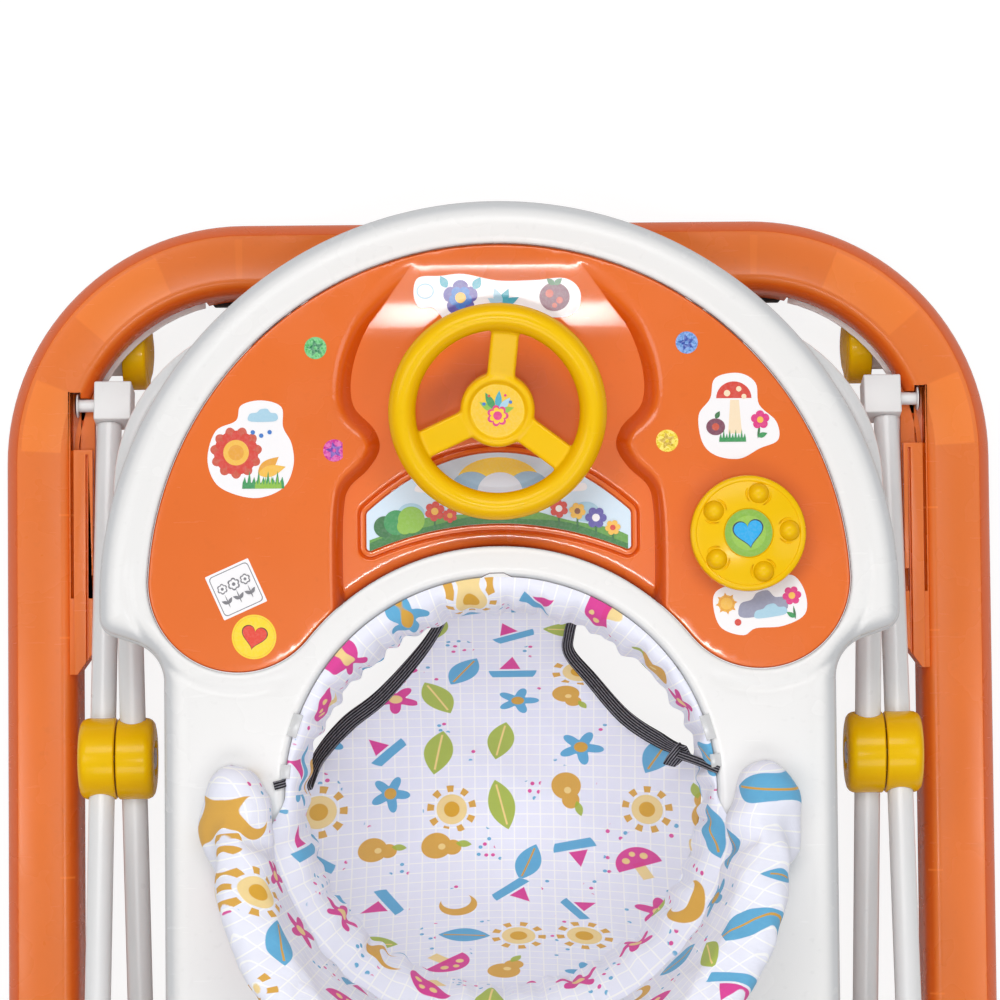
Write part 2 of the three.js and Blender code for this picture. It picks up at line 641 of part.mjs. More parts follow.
// Round housing between two planes, with the tube's bore along the arm and the bolt's across.
function pivotHousing(side, legX, innerX, boltEnd) {
  const at = (x) => mirrored(side, x);
  const outerX = innerX + HOUSING_WIDTH;
  const disc = rodX(HOUSING_RADIUS, at(innerX), at(outerX), 0, 0, 32);
  const reach = HOUSING_RADIUS + 1;
  const boreRadius = TUBE_RADIUS + SEAT_GAP;
  const tubeBore = new THREE.CylinderGeometry(boreRadius, boreRadius, 2 * reach, 16);
  const bolt = rodX(BOLT_RADIUS + SEAT_GAP, at(innerX - 1), at(outerX + 1));
  const depth = BOLT_HEAD_THICKNESS + SEAT_GAP;
  const head = boltEnd === 'inner'
    ? rodX(BOLT_HEAD_RADIUS + SEAT_GAP, at(innerX - 1), at(innerX + depth))
    : rodX(BOLT_HEAD_RADIUS + SEAT_GAP, at(outerX - depth), at(outerX + 1));
  return cut(disc, moved(tubeBore, at(legX), 0, 0), bolt, head);
}

const housingSplitX = (outerLegX + innerLegX) / 2;
const innerHousingX = housingSplitX - HOUSING_GAP / 2 - HOUSING_WIDTH;
const outerHousingX = housingSplitX + HOUSING_GAP / 2;

function pivotBolt(side) {
  const at = (x) => mirrored(side, x);
  const innerFace = innerHousingX + BOLT_HEAD_THICKNESS;
  const outerFace = outerHousingX + HOUSING_WIDTH - BOLT_HEAD_THICKNESS;
  return join(
    rodX(BOLT_RADIUS, at(innerFace - 1), at(outerFace + 1)),
    rodX(BOLT_HEAD_RADIUS, at(innerHousingX), at(innerFace), 0, 0, 6),
    rodX(BOLT_HEAD_RADIUS, at(outerFace), at(outerFace + BOLT_HEAD_THICKNESS), 0, 0, 6),
  );
}

// Block at a leg's lower end: a knuckle round the pin with a plug inside the tube.
function endBlock(side, legX, centreX, boreFrom, boreTo) {
  const at = (x) => mirrored(side, x);
  const half = BLOCK_SIZE / 2;
  const knuckle = boxBetween([at(centreX - BLOCK_WIDTH / 2), -half, -half],
    [at(centreX + BLOCK_WIDTH / 2), half, half]);
  const plug = new THREE.CylinderGeometry(
    TUBE_RADIUS - TUBE_WALL - SEAT_GAP, TUBE_RADIUS - TUBE_WALL - SEAT_GAP, PLUG_LENGTH + half, 15);
  const whole = join(knuckle, moved(plug, at(legX), (PLUG_LENGTH + half) / 2, 0));
  const bored = cut(whole, rodX(PIN_RADIUS + SEAT_GAP, at(boreFrom), at(boreTo)));
  return bored.translate(0, -armLower, 0);
}

const slideBlockX = blockOuterX - BLOCK_WIDTH / 2;

// Pin of a front block: its shaft passes the rail's slot and its head runs inside the rail.
function slidePin(side) {
  const at = (x) => mirrored(side, x);
  const shaftStart = slideBlockX - BLOCK_WIDTH / 2 + 3;
  const dome = turned([[0, 0], [PIN_HEAD_RADIUS, 0], [PIN_HEAD_RADIUS, PIN_HEAD_THICKNESS * 0.5],
    [PIN_HEAD_RADIUS * 0.6, PIN_HEAD_THICKNESS], [0, PIN_HEAD_THICKNESS]], 24).rotateY(Math.PI / 2);
  const head = side === 'left' ? flipX(dome) : dome;
  const pin = join(rodX(PIN_RADIUS, at(shaftStart), at(pinHeadX + 1)), moved(head, at(pinHeadX), 0, 0));
  return pin.translate(0, -armLower, 0);
}

// Pin of a rear block, fixed in the boss of the base, with its head on the block's inner face.
function rearPin(side) {
  const at = (x) => mirrored(side, x);
  const face = innerLegX - BLOCK_WIDTH / 2 - SEAT_GAP;
  return join(
    rodX(PIN_RADIUS, at(face - 1), at(baseInnerX - 3), -lowerPinY, LOWER_PIN_HEIGHT),
    rodX(PIN_HEAD_RADIUS, at(face - PIN_HEAD_THICKNESS), at(face), -lowerPinY, LOWER_PIN_HEIGHT),
  );
}

function buildFrame() {
  const white = () => plastic(WHITE, 0.3);
  // The inner arm rises to the front; the outer one is the same arm turned about Z, so it
  // rises to the rear.
  const innerArm = new THREE.Group();
  innerArm.position.set(0, 0, pivotHeight);
  innerArm.rotation.x = radians(FOLDED_ANGLE);
  const outerArm = new THREE.Group();
  outerArm.position.set(0, 0, pivotHeight);
  outerArm.rotation.set(radians(FOLDED_ANGLE), 0, Math.PI, 'ZYX');
  group.add(innerArm, outerArm);

  add(innerArm, 'frame_tube_inner', frameTube(innerLegX), white());
  add(outerArm, 'frame_tube_outer', frameTube(outerLegX), white());
  for (const side of ['left', 'right']) {
    const other = side === 'left' ? 'right' : 'left'; // the outer arm is turned half round
    const rearBlockInnerX = innerLegX - BLOCK_WIDTH / 2;
    add(innerArm, `pivot_housing_inner_${side}`,
      pivotHousing(side, innerLegX, innerHousingX, 'inner'), plastic(YELLOW));
    add(outerArm, `pivot_housing_outer_${side}`,
      pivotHousing(other, outerLegX, outerHousingX, 'outer'), plastic(YELLOW));
    add(innerArm, `pivot_bolt_${side}`, pivotBolt(side), steel());
    add(innerArm, `rear_block_${side}`,
      endBlock(side, innerLegX, innerLegX, rearBlockInnerX - 1, rearBlockOuterX + 1), white());
    add(outerArm, `slide_block_${side}`,
      endBlock(other, outerLegX, slideBlockX, slideBlockX - BLOCK_WIDTH / 2 + 2, blockOuterX + 1), white());
    add(outerArm, `slide_pin_${side}`, slidePin(other), steel());
    add(group, `rear_pin_${side}`, rearPin(side), steel());
  }
}

// ---------------------------------------------------------------- tray outlines

function trayOutline() {
  const pastTip = EAR_TIP_Y - TRAY_ARC_Y + EAR_TIP_RADIUS * 1.3;
  const tipFrom = THREE.MathUtils.radToDeg(Math.asin(pastTip / trayArcRadius));
  const tip = [trayArcRadius, EAR_TIP_Y];
  const root = [traySideX, EAR_ROOT_Y];
  const rear = [traySideX, TRAY_REAR_Y];
  const rightSide = [
    ...filletPoints([0, TRAY_REAR_Y], rear, root, TRAY_REAR_CORNER, 10),
    ...filletPoints(rear, root, tip, EAR_ROOT_RADIUS),
    ...filletPoints(root, tip, [trayArcRadius, TRAY_ARC_Y], EAR_TIP_RADIUS),
  ];
  return shapeOf([
    ...rightSide,
    ...arcPoints(0, TRAY_ARC_Y, trayArcRadius, tipFrom, 180 - tipFrom, 6),
    ...mirrorPoints(rightSide),
  ]);
}

// Centre of the panel's lobe, which touches the outer arc from inside and the inner arc from outside.
function lobeCentre() {
  const toOuter = panelRadius - PANEL_LOBE_RADIUS;
  const toInner = PANEL_INNER_RADIUS + PANEL_LOBE_RADIUS;
  const span = PANEL_ARC_Y - SEAT_HOLE_Y;
  const fromHole = (toInner ** 2 - toOuter ** 2 + span ** 2) / (2 * span);
  return [Math.sqrt(toInner ** 2 - fromHole ** 2), SEAT_HOLE_Y + fromHole];
}

function panelOutline() {
  const [x, y] = lobeCentre();
  const outerAngle = THREE.MathUtils.radToDeg(Math.atan2(y - PANEL_ARC_Y, x));
  const innerAngle = THREE.MathUtils.radToDeg(Math.atan2(y - SEAT_HOLE_Y, x));
  const lobe = arcPoints(x, y, PANEL_LOBE_RADIUS, innerAngle - 180, outerAngle, 10).slice(1, -1);
  return shapeOf([
    ...arcPoints(0, PANEL_ARC_Y, panelRadius, outerAngle, 180 - outerAngle, 6),
    ...mirrorPoints(lobe),
    ...arcPoints(0, SEAT_HOLE_Y, PANEL_INNER_RADIUS, 180 - innerAngle, innerAngle, 6),
    ...lobe,
  ]);
}

// Outline of the sunken dashboard between the two waisted walls.
function dashOutline() {
  const half = new THREE.SplineCurve(DASH_HALF_OUTLINE.map(([x, y]) => new THREE.Vector2(x, y)));
  const right = half.getPoints(18).map((point) => [point.x, point.y]);
  return shapeOf([...right, ...mirrorPoints(right)]);
}

// Everything above the dashboard's floor, lowered by `drop`, in heights from the tray top.
function aboveDash(drop) {
  const top = 20;
  const level = -PANEL_DROP - drop;
  const slope = (DASH_REAR_DEPTH - DASH_BEND_DEPTH) / (DASH_BEND_Y - DASH_REAR_Y);
  const rearY = DASH_REAR_Y - 30;
  const profile = shapeOf([
    [PANEL_ARC_Y + panelRadius, top], [PANEL_ARC_Y + panelRadius, level], [DASH_FADE_Y, level],
    [DASH_BEND_Y, level - DASH_BEND_DEPTH],
    [rearY, level - DASH_BEND_DEPTH - slope * (DASH_BEND_Y - rearY)],
    [rearY, top],
  ]);
  const width = 2 * panelRadius;
  return standing(profile, -width / 2, width / 2);
}

// ---------------------------------------------------------------- tray

function trayFrame() {
  const bevel = {
    depth: TRAY_DEPTH - TRAY_EDGE_ROUND, bevelEnabled: true, bevelSegments: 3,
    bevelSize: TRAY_EDGE_ROUND, bevelThickness: TRAY_EDGE_ROUND, bevelOffset: -TRAY_EDGE_ROUND,
  };
  const outline = trayOutline();
  const panel = panelOutline();
  const below = -TRAY_DEPTH - 1;
  const ledgeTop = -PANEL_DROP - PANEL_THICKNESS - SEAT_GAP;
  const ledgeBottom = ledgeTop - TRAY_WALL;
  const ceiling = -TRAY_DECK;
  const ringWallBottom = -PANEL_DROP - DASH_REAR_DEPTH - DASH_WALL;
  const rounded = new THREE.ExtrudeGeometry(outline, bevel).translate(0, 0, -TRAY_DEPTH);
  const body = common(rounded, raised(outline, -TRAY_DEPTH, 0));
  const holeSkirt = raised(discShape(SEAT_HOLE_RADIUS + TRAY_WALL, SEAT_HOLE_Y), below, 1);
  const inside = (z0, z1) => cut(raised(outline, z0, z1, -TRAY_WALL), holeSkirt);
  const ringWall = cut(
    raised(discShape(PANEL_INNER_RADIUS - SEAT_GAP, SEAT_HOLE_Y), ringWallBottom, ledgeBottom + 1),
    raised(discShape(PANEL_INNER_RADIUS - SEAT_GAP - TRAY_WALL, SEAT_HOLE_Y), ringWallBottom - 1, 1));
  return cut(body,
    raised(discShape(SEAT_HOLE_RADIUS, SEAT_HOLE_Y), below, 1),
    raised(panel, ledgeTop, 1, SEAT_GAP),
    raised(panel, below, 1, -PANEL_LEDGE),
    common(raised(dashOutline(), below, 1, DASH_WALL + RUN_GAP), raised(panel, below, 1, SEAT_GAP)),
    cut(inside(below, ledgeBottom), ringWall),
    cut(inside(ledgeBottom - 1, ceiling), raised(panel, below, 1, TRAY_WALL + SEAT_GAP), ringWall));
}

function toyPanel() {
  const top = -PANEL_DROP;
  const outline = panelOutline();
  const dash = dashOutline();
  const plate = raised(outline, top - PANEL_THICKNESS, top);
  const deep = top - DASH_REAR_DEPTH - 12;
  const trough = common(raised(dash, deep, top, DASH_WALL), aboveDash(DASH_WALL));
  const tub = common(trough, raised(outline, deep, top));
  const hollow = common(raised(dash, deep, top + 1), aboveDash(0));
  const pocket = common(raised(windowOutline(), deep, top + 1), aboveDash(WINDOW_THICKNESS));
  return cut(join(plate, cut(tub, raised(dash, top, top + 2))), hollow, pocket);
}

// Half-moon outline of the picture window in the dashboard.
function windowOutline() {
  // A curve whose middle is at the height y and whose ends lie behind it by the rise.
  const bow = (y, rise, from, to) => {
    const curve = new THREE.QuadraticBezierCurve(
      new THREE.Vector2(from, y - rise), new THREE.Vector2(0, y + rise), new THREE.Vector2(to, y - rise));
    return curve.getPoints(16).map((point) => [point.x, point.y]);
  };
  return shapeOf([
    ...bow(WINDOW_REAR_Y, WINDOW_REAR_RISE, -WINDOW_HALF_WIDTH, WINDOW_HALF_WIDTH),
    ...bow(WINDOW_FRONT_Y, WINDOW_FRONT_RISE, WINDOW_HALF_WIDTH, -WINDOW_HALF_WIDTH),
  ]);
}

function dashWindow() {
  const deep = -PANEL_DROP - DASH_REAR_DEPTH - 12;
  const slab = common(raised(windowOutline(), deep, 0, -SEAT_GAP), aboveDash(WINDOW_THICKNESS - SEAT_GAP));
  return cut(slab, aboveDash(0));
}

function steeringWheel() {
  const hubTop = -STEERING_DISH + STEERING_HUB_HEIGHT / 2;
  const hubBottom = hubTop - STEERING_HUB_HEIGHT;
  const ring = new THREE.TorusGeometry(STEERING_RING_RADIUS, STEERING_RIM_RADIUS, 10, 40);
  const hub = turned([
    [0, hubBottom], [STEERING_HUB_RADIUS - 2, hubBottom], [STEERING_HUB_RADIUS, hubBottom + 2],
    [STEERING_HUB_RADIUS, hubTop - 3], [STEERING_HUB_RADIUS - 3, hubTop], [0, hubTop],
  ], 36);
  const spokes = [0, 120, 240].map((turn) => {
    const half = STEERING_SPOKE_WIDTH / 2;
    const reach = STEERING_RING_RADIUS;
    const rise = STEERING_DISH * 0.8;
    const bottom = hubTop - STEERING_SPOKE_THICKNESS;
    const side = shapeOf([
      [STEERING_HUB_RADIUS * 0.5, bottom], [reach, bottom + rise],
      [reach, hubTop - 1 + rise], [STEERING_HUB_RADIUS * 0.5, hubTop - 1],
    ]);
    const spoke = raised(side, -half, half).rotateX(Math.PI / 2);
    return spoke.rotateZ(radians(STEERING_SPOKE_START + turn));
  });
  const pocket = rodZ(STEERING_CAP_RADIUS + SEAT_GAP, hubTop - STEERING_CAP_THICKNESS / 2, hubTop + 5);
  const boreTop = hubTop - STEERING_CAP_THICKNESS / 2 - 2;
  const bore = rodZ(STEERING_SPINDLE_RADIUS + SEAT_GAP, hubBottom - 1, boreTop);
  return cut(join(ring, hub, ...spokes), pocket, bore);
}

function steeringCap() {
  const seat = -STEERING_DISH + STEERING_HUB_HEIGHT / 2 - STEERING_CAP_THICKNESS / 2 + SEAT_GAP;
  const top = seat + STEERING_CAP_THICKNESS;
  return turned([
    [0, seat], [STEERING_CAP_RADIUS, seat], [STEERING_CAP_RADIUS, top - 0.6],
    [STEERING_CAP_RADIUS * 0.6, top], [0, top],
  ]);
}

// The column stands on the sloped dashboard; its spindle carries the wheel's hub.
function buildSteering(tray) {
  const steering = new THREE.Group();
  steering.position.set(0, STEERING_Y, STEERING_HEIGHT);
  steering.rotation.x = radians(STEERING_TILT);
  tray.add(steering);
  add(steering, 'steering_wheel', steeringWheel(), plastic(YELLOW, 0.25));
  add(steering, 'steering_hub_cap', steeringCap(), plastic(YELLOW, 0.25));

  const hubTop = -STEERING_DISH + STEERING_HUB_HEIGHT / 2;
  const hubBottom = hubTop - STEERING_HUB_HEIGHT;
  const spindleTop = hubTop - STEERING_CAP_THICKNESS / 2 - 3;
  const length = STEERING_HEIGHT + DASH_REAR_DEPTH + 20;
  const column = join(
    rodZ(STEERING_COLUMN_RADIUS, -length, hubBottom - SEAT_GAP),
    rodZ(STEERING_SPINDLE_RADIUS, hubBottom - 2, spindleTop),
  ).rotateX(radians(STEERING_TILT)).translate(0, STEERING_Y, STEERING_HEIGHT);
  add(tray, 'steering_column', common(column, aboveDash(-SEAT_GAP)), plastic(ORANGE));
}

function rattleDisc() {
  const half = RATTLE_THICKNESS;
  const disc = turned([
    [0, 0], [RATTLE_RADIUS - 2, 0], [RATTLE_RADIUS, 2],
    [RATTLE_RADIUS, half - 2], [RATTLE_RADIUS - 2, half],
    [RATTLE_RADIUS * 0.5, half + RATTLE_CROWN * 0.75], [0, half + RATTLE_CROWN],
  ], 40);
  const bumps = Array.from({ length: RATTLE_BUMPS }, (_, i) => {
    const angle = radians(RATTLE_FIRST_BUMP + (i * 360) / RATTLE_BUMPS);
    const bump = new THREE.SphereGeometry(RATTLE_BUMP_RADIUS, 12, 8);
    const x = RATTLE_BUMP_CIRCLE * Math.cos(angle);
    const y = RATTLE_BUMP_CIRCLE * Math.sin(angle);
    return bump.translate(x, y, half - 1);
  });
  const bore = rodZ(RATTLE_SPINDLE_RADIUS + SEAT_GAP, -1, RATTLE_SPINDLE_LENGTH + RUN_GAP);
  return cut(join(disc, ...bumps), bore);
}

function buildRattle(tray) {
  const rattle = new THREE.Group();
  rattle.position.set(rattleX, RATTLE_Y, -PANEL_DROP + SEAT_GAP);
  tray.add(rattle);
  const post = join(
    rodZ(RATTLE_POST_RADIUS, 0, RATTLE_POST_HEIGHT),
    rodZ(RATTLE_SPINDLE_RADIUS, RATTLE_POST_HEIGHT - 1, RATTLE_POST_HEIGHT + RATTLE_SPINDLE_LENGTH));
  add(rattle, 'rattle_post', post, plastic(ORANGE));
  add(rattle, 'rattle_disc', moved(rattleDisc(), 0, 0, RATTLE_POST_HEIGHT + SEAT_GAP), plastic(YELLOW));
}

// Upright slotted plate under the panel in which the inner tube's crossbar slides.
function trayTrack(side) {
  const slot = TUBE_RADIUS + SEAT_GAP;
  const front = crossbarY + slot;
  const rear = crossbarY - crossbarTravel - slot;
  const underPanel = -PANEL_DROP - PANEL_THICKNESS - SEAT_GAP;
  const top = underPanel - TRAY_WALL - SEAT_GAP;
  const bottom = -TRAY_RISE - slot - TRACK_LIP;
  const foot = 20;
  const plate = shapeOf([
    [rear - TRACK_LIP, bottom], [front + TRACK_LIP, bottom], [front + TRACK_LIP, top],
    [front - foot, top], [front - foot, underPanel],
    [front - 2 * foot, underPanel], [front - 2 * foot, top],
    [rear + 2 * foot, top], [rear + 2 * foot, underPanel],
    [rear + foot, underPanel], [rear + foot, top],
    [rear - TRACK_LIP, top],
  ]);
  plate.holes.push(new THREE.Path([
    [rear, -TRAY_RISE - slot], [rear, -TRAY_RISE + slot],
    [front, -TRAY_RISE + slot], [front, -TRAY_RISE - slot],
  ].map(([y, z]) => new THREE.Vector2(y, z))));
  const half = TRACK_THICKNESS / 2;
  const x = mirrored(side, TRACK_X);
  return standing(plate, x - half, x + half);
}

// Saddle under the rear deck round the outer tube's crossbar.
function traySaddle(side) {
  const x = mirrored(side, SADDLE_X);
  const low = -TRAY_RISE - TUBE_RADIUS - SADDLE_FLOOR;
  const block = boxBetween([x - SADDLE_WIDTH / 2, -crossbarY - SADDLE_LENGTH / 2, low],
    [x + SADDLE_WIDTH / 2, -crossbarY + SADDLE_LENGTH / 2, -TRAY_DECK - SEAT_GAP]);
  const tube = rodX(TUBE_RADIUS + SEAT_GAP, x - SADDLE_WIDTH, x + SADDLE_WIDTH, -crossbarY, -TRAY_RISE);
  return cut(block, tube);
}

// ---------------------------------------------------------------- backrest and seat

// Sections of a wall that wraps round the rear half of the seat hole, as [radius, height]
// points from `sectionAt(height)`, with the height rising from both ends to the back.
function wrapped(sectionAt, lift) {
  const count = 24;
  const start = 180 - BACKREST_END_ANGLE;
  const sweep = 180 + 2 * BACKREST_END_ANGLE;
  const sections = Array.from({ length: count + 1 }, (_, i) => {
    const rise = Math.sin((Math.PI * i) / count) ** 0.9;
    return sectionAt(BACKREST_END_HEIGHT + (BACKREST_HEIGHT - BACKREST_END_HEIGHT) * rise);
  });
  return skin(sections, (i, [r, z]) => {
    const angle = radians(start + (sweep * i) / count);
    return new THREE.Vector3(r * Math.cos(angle), SEAT_HOLE_Y + r * Math.sin(angle), z + lift);
  });
}

function backrestShell() {
  const foot = BACKREST_RADIUS;
  return wrapped((h) => [
    [foot, 0], [foot + BACKREST_WALL, 0],
    [foot + BACKREST_WALL + BACKREST_LEAN * h, h], [foot + BACKREST_LEAN * h, h],
  ], SEAT_GAP);
}

// Padded cover over both faces and the top of the backrest shell.
function backrestPad() {
  const inner = BACKREST_RADIUS - SEAT_GAP;
  const outer = BACKREST_RADIUS + BACKREST_WALL + SEAT_GAP;
  return wrapped((h) => {
    const lean = BACKREST_LEAN * h;
    return [
      [inner, 0], [inner + lean, h + SEAT_GAP], [outer + lean, h + SEAT_GAP], [outer, 0],
      [outer + PAD_OUTER, 0], [outer + lean + PAD_OUTER * 0.8, h], [outer + lean, h + PAD_TOP],
      [inner + lean - PAD_INNER * 0.5, h + PAD_TOP * 0.8], [inner + lean * 0.6 - PAD_INNER, h * 0.55],
      [inner - PAD_INNER, 0],
    ];
  }, SEAT_GAP);
}

// Cloth bowl that hangs in the hole, with the band round the hole and two leg openings.
function seatSling() {
  const edge = holeFlat - SEAT_GAP;
  const steps = 8;
  const bowlPoints = Array.from({ length: steps + 1 }, (_, i) => {
    const angle = (Math.PI / 2) * (i / steps);
    const power = 2 / SEAT_FULLNESS;
    const across = i === steps ? 0 : Math.cos(angle) ** power;
    const drop = (SEAT_DEPTH - SEAT_BAND_DEPTH) * Math.sin(angle) ** power;
    return [SEAT_BAND_RADIUS * across, -SEAT_BAND_DEPTH - drop];
  });
  const hang = [
    [edge, -SEAT_CLOTH], [edge + (SEAT_BAND_RADIUS - edge) * 0.4, -SEAT_BAND_DEPTH * 0.5], ...bowlPoints,
  ];
  const inner = hang.map(([r, z], i) => {
    const [r0, z0] = hang[Math.max(i - 1, 0)];
    const [r1, z1] = hang[Math.min(i + 1, hang.length - 1)];
    const length = Math.hypot(r1 - r0, z1 - z0);
    const across = r === 0 ? 0 : ((z1 - z0) / length) * SEAT_CLOTH;
    const up = r === 0 ? SEAT_CLOTH : ((r0 - r1) / length) * SEAT_CLOTH;
    return [r + across, z + up];
  });
  const bowl = turned([...hang.slice().reverse(), ...inner], 36);
  const openings = LEG_OPENINGS.map(({ from, to, narrowest }) => {
    const arc = arcPoints(0, 0, SEAT_BAND_RADIUS, from, to, 6);
    const middle = radians((from + to) / 2);
    const between = arc[0].map((value, k) => (value + arc[arc.length - 1][k]) / 2);
    const through = [narrowest * Math.cos(middle), narrowest * Math.sin(middle)];
    const pull = through.map((value, k) => 2 * value - between[k]);
    const back = new THREE.QuadraticBezierCurve(
      new THREE.Vector2(...arc[arc.length - 1]), new THREE.Vector2(...pull), new THREE.Vector2(...arc[0]));
    const inside = back.getPoints(10).slice(1, -1).map((point) => [point.x, point.y]);
    return raised(shapeOf([...arc, ...inside]), -SEAT_DEPTH - 5, 1);
  });
  return moved(cut(bowl, ...openings), 0, SEAT_HOLE_Y, 0);
}

function buildTray() {
  const tray = new THREE.Group();
  tray.position.z = trayTop;
  group.add(tray);
  add(tray, 'tray_frame', trayFrame(), plastic(WHITE));
  add(tray, 'toy_panel', toyPanel(), plastic(ORANGE));
  add(tray, 'dash_window', dashWindow(), plastic('#c8dfee', 0.3));
  buildSteering(tray);
  buildRattle(tray);
  for (const side of ['left', 'right']) {
    add(tray, `tray_track_${side}`, trayTrack(side), plastic(WHITE));
    add(tray, `tray_saddle_${side}`, traySaddle(side), plastic(WHITE));
  }
  add(tray, 'backrest_shell', backrestShell(), plastic(WHITE));
  add(tray, 'backrest_pad', backrestPad(), plastic(CLOTH, 0.9));
  add(tray, 'seat_sling', seatSling(), plastic(CLOTH, 0.9));
}

// ---------------------------------------------------------------- assembly

buildBase();
for (const [place, position] of Object.entries(casterPlaces())) buildCaster(place, position);
buildFrame();
buildTray();

export default group;
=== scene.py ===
# %% [markdown]
# # A folding baby walker
#
# The walker has an orange base ring on six casters, two U-shaped steel tubes that cross like
# scissors, a white tray with a toy panel, and a cloth seat. Its measured solids and its moving
# bodies are already made. This notebook gives each of them its surface, and models again, finely,
# what is curved, soft or printed.

# %% Load the measured walker
import json
import math

import bmesh
import bpy
import numpy as np
from mathutils import Matrix, Vector
from mathutils.geometry import delaunay_2d_cdt

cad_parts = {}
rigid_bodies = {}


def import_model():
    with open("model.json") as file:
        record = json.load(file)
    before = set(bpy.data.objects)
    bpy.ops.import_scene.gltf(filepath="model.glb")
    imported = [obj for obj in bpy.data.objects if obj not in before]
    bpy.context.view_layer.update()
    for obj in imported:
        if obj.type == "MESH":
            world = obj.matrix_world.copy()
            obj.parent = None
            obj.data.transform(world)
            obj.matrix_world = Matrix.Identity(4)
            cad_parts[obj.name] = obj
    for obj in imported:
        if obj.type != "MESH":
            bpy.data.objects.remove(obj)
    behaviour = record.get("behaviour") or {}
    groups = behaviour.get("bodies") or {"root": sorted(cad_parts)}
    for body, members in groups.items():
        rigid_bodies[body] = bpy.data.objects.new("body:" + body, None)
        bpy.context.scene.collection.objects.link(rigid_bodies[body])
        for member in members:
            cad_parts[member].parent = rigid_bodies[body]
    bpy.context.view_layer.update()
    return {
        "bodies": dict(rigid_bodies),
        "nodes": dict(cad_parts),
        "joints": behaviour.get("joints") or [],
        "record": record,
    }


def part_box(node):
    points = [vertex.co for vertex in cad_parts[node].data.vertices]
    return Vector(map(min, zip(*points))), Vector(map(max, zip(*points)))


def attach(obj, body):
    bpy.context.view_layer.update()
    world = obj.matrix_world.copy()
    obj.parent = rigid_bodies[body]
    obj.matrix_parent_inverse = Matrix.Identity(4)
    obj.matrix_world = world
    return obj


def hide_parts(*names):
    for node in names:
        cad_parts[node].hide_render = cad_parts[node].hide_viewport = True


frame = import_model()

MM = 0.001
SIDES = ("left", "right")

# %% [markdown]
# ## Modelling helpers
#
# An operator works on whatever is selected, so every step starts with nothing selected. The
# helpers below do what a hand does in edit mode: select edges or faces by where they are, then
# extrude, inset or bevel them. Each finished piece has its place in its mesh, and its object
# stays at the origin, so it can ride on a body.

# %% Selecting and editing
def only(piece):
    """Selects one object and nothing else."""
    bpy.ops.object.select_all(action="DESELECT")
    for node in frame["nodes"].values():
        node.select_set(False)
    piece.select_set(True)
    bpy.context.view_layer.objects.active = piece
    return piece


def edit(piece, kind="VERT"):
    only(piece)
    bpy.ops.object.mode_set(mode="EDIT")
    bpy.ops.mesh.select_mode(type=kind)
    bpy.ops.mesh.select_all(action="SELECT")


def leave_edit():
    bpy.ops.object.mode_set(mode="OBJECT")


def pick(piece, kind, wanted):
    """In edit mode, selects the vertices, edges or faces for which wanted(element) is true."""
    bpy.ops.mesh.select_mode(type=kind)
    bpy.ops.mesh.select_all(action="DESELECT")
    mesh = bmesh.from_edit_mesh(piece.data)
    elements = {"VERT": mesh.verts, "EDGE": mesh.edges, "FACE": mesh.faces}[kind]
    for element in elements:
        if wanted(element):
            element.select_set(True)
    mesh.select_flush_mode()
    bmesh.update_edit_mesh(piece.data)


def named(name):
    """Names the object that an operator has just added, and puts its place into its mesh."""
    piece = bpy.context.object
    piece.name = piece.data.name = name
    only(piece)
    bpy.ops.object.transform_apply(location=True, rotation=True, scale=True)
    return piece


def modify(piece, kind, **settings):
    """Adds a modifier and applies it at once."""
    only(piece)
    modifier = piece.modifiers.new(kind.title(), kind)
    for key, value in settings.items():
        setattr(modifier, key, value)
    bpy.ops.object.modifier_apply(modifier=modifier.name)
    return piece


def smooth(piece, angle=35):
    only(piece)
    bpy.ops.object.shade_smooth_by_angle(angle=math.radians(angle))
    return piece


def bevel(piece, width, segments, angle):
    return modify(piece, "BEVEL", width=width * MM, segments=segments, limit_method="ANGLE",
                  angle_limit=math.radians(angle))


def soften(piece, width=0.8, segments=3, angle=30):
    """Rounds every edge sharper than the angle, as moulded plastic is."""
    return smooth(bevel(piece, width, segments, angle))


def face_out():
    """In edit mode, turns every face outwards, and leaves edit mode."""
    bpy.ops.mesh.select_all(action="SELECT")
    bpy.ops.mesh.normals_make_consistent(inside=False)
    leave_edit()


def outward(piece):
    """Closes the seams and turns every face outwards."""
    edit(piece)
    bpy.ops.mesh.remove_doubles(threshold=1e-6)
    face_out()
    return piece


def close_ends(piece):
    """In edit mode, fills the open ends with faces."""
    pick(piece, "EDGE", lambda edge: edge.is_boundary)
    bpy.ops.mesh.edge_face_add()


def pull(x, y, z=0.0):
    """In edit mode, extrudes what is selected, in millimetres."""
    bpy.ops.mesh.extrude_region_move(TRANSFORM_OT_translate={"value": (x * MM, y * MM, z * MM)})


def turning(degrees, axis):
    return Matrix.Rotation(math.radians(degrees), 4, axis)


# %% Simple solids to start from
def block(name, low, high):
    """A box between two corners, in millimetres."""
    centre = [(a + b) / 2 * MM for a, b in zip(low, high)]
    size = [abs(b - a) * MM for a, b in zip(low, high)]
    bpy.ops.mesh.primitive_cube_add(size=1, location=centre, scale=size)
    return named(name)


def drum(name, radius, start, end, around=64):
    """A cylinder between two points, in millimetres."""
    a, b = Vector(start) * MM, Vector(end) * MM
    turn = (b - a).to_track_quat("Z", "Y").to_euler()
    bpy.ops.mesh.primitive_cylinder_add(vertices=around, radius=radius * MM, depth=(b - a).length,
                                        location=(a + b) / 2, rotation=turn)
    return named(name)


def net_piece(name, vertices, faces):
    """A new piece from points in metres and faces that number them."""
    mesh = bpy.data.meshes.new(name)
    mesh.from_pydata([tuple(v) for v in vertices], [], faces)
    piece = bpy.data.objects.new(name, mesh)
    bpy.context.collection.objects.link(piece)
    return piece


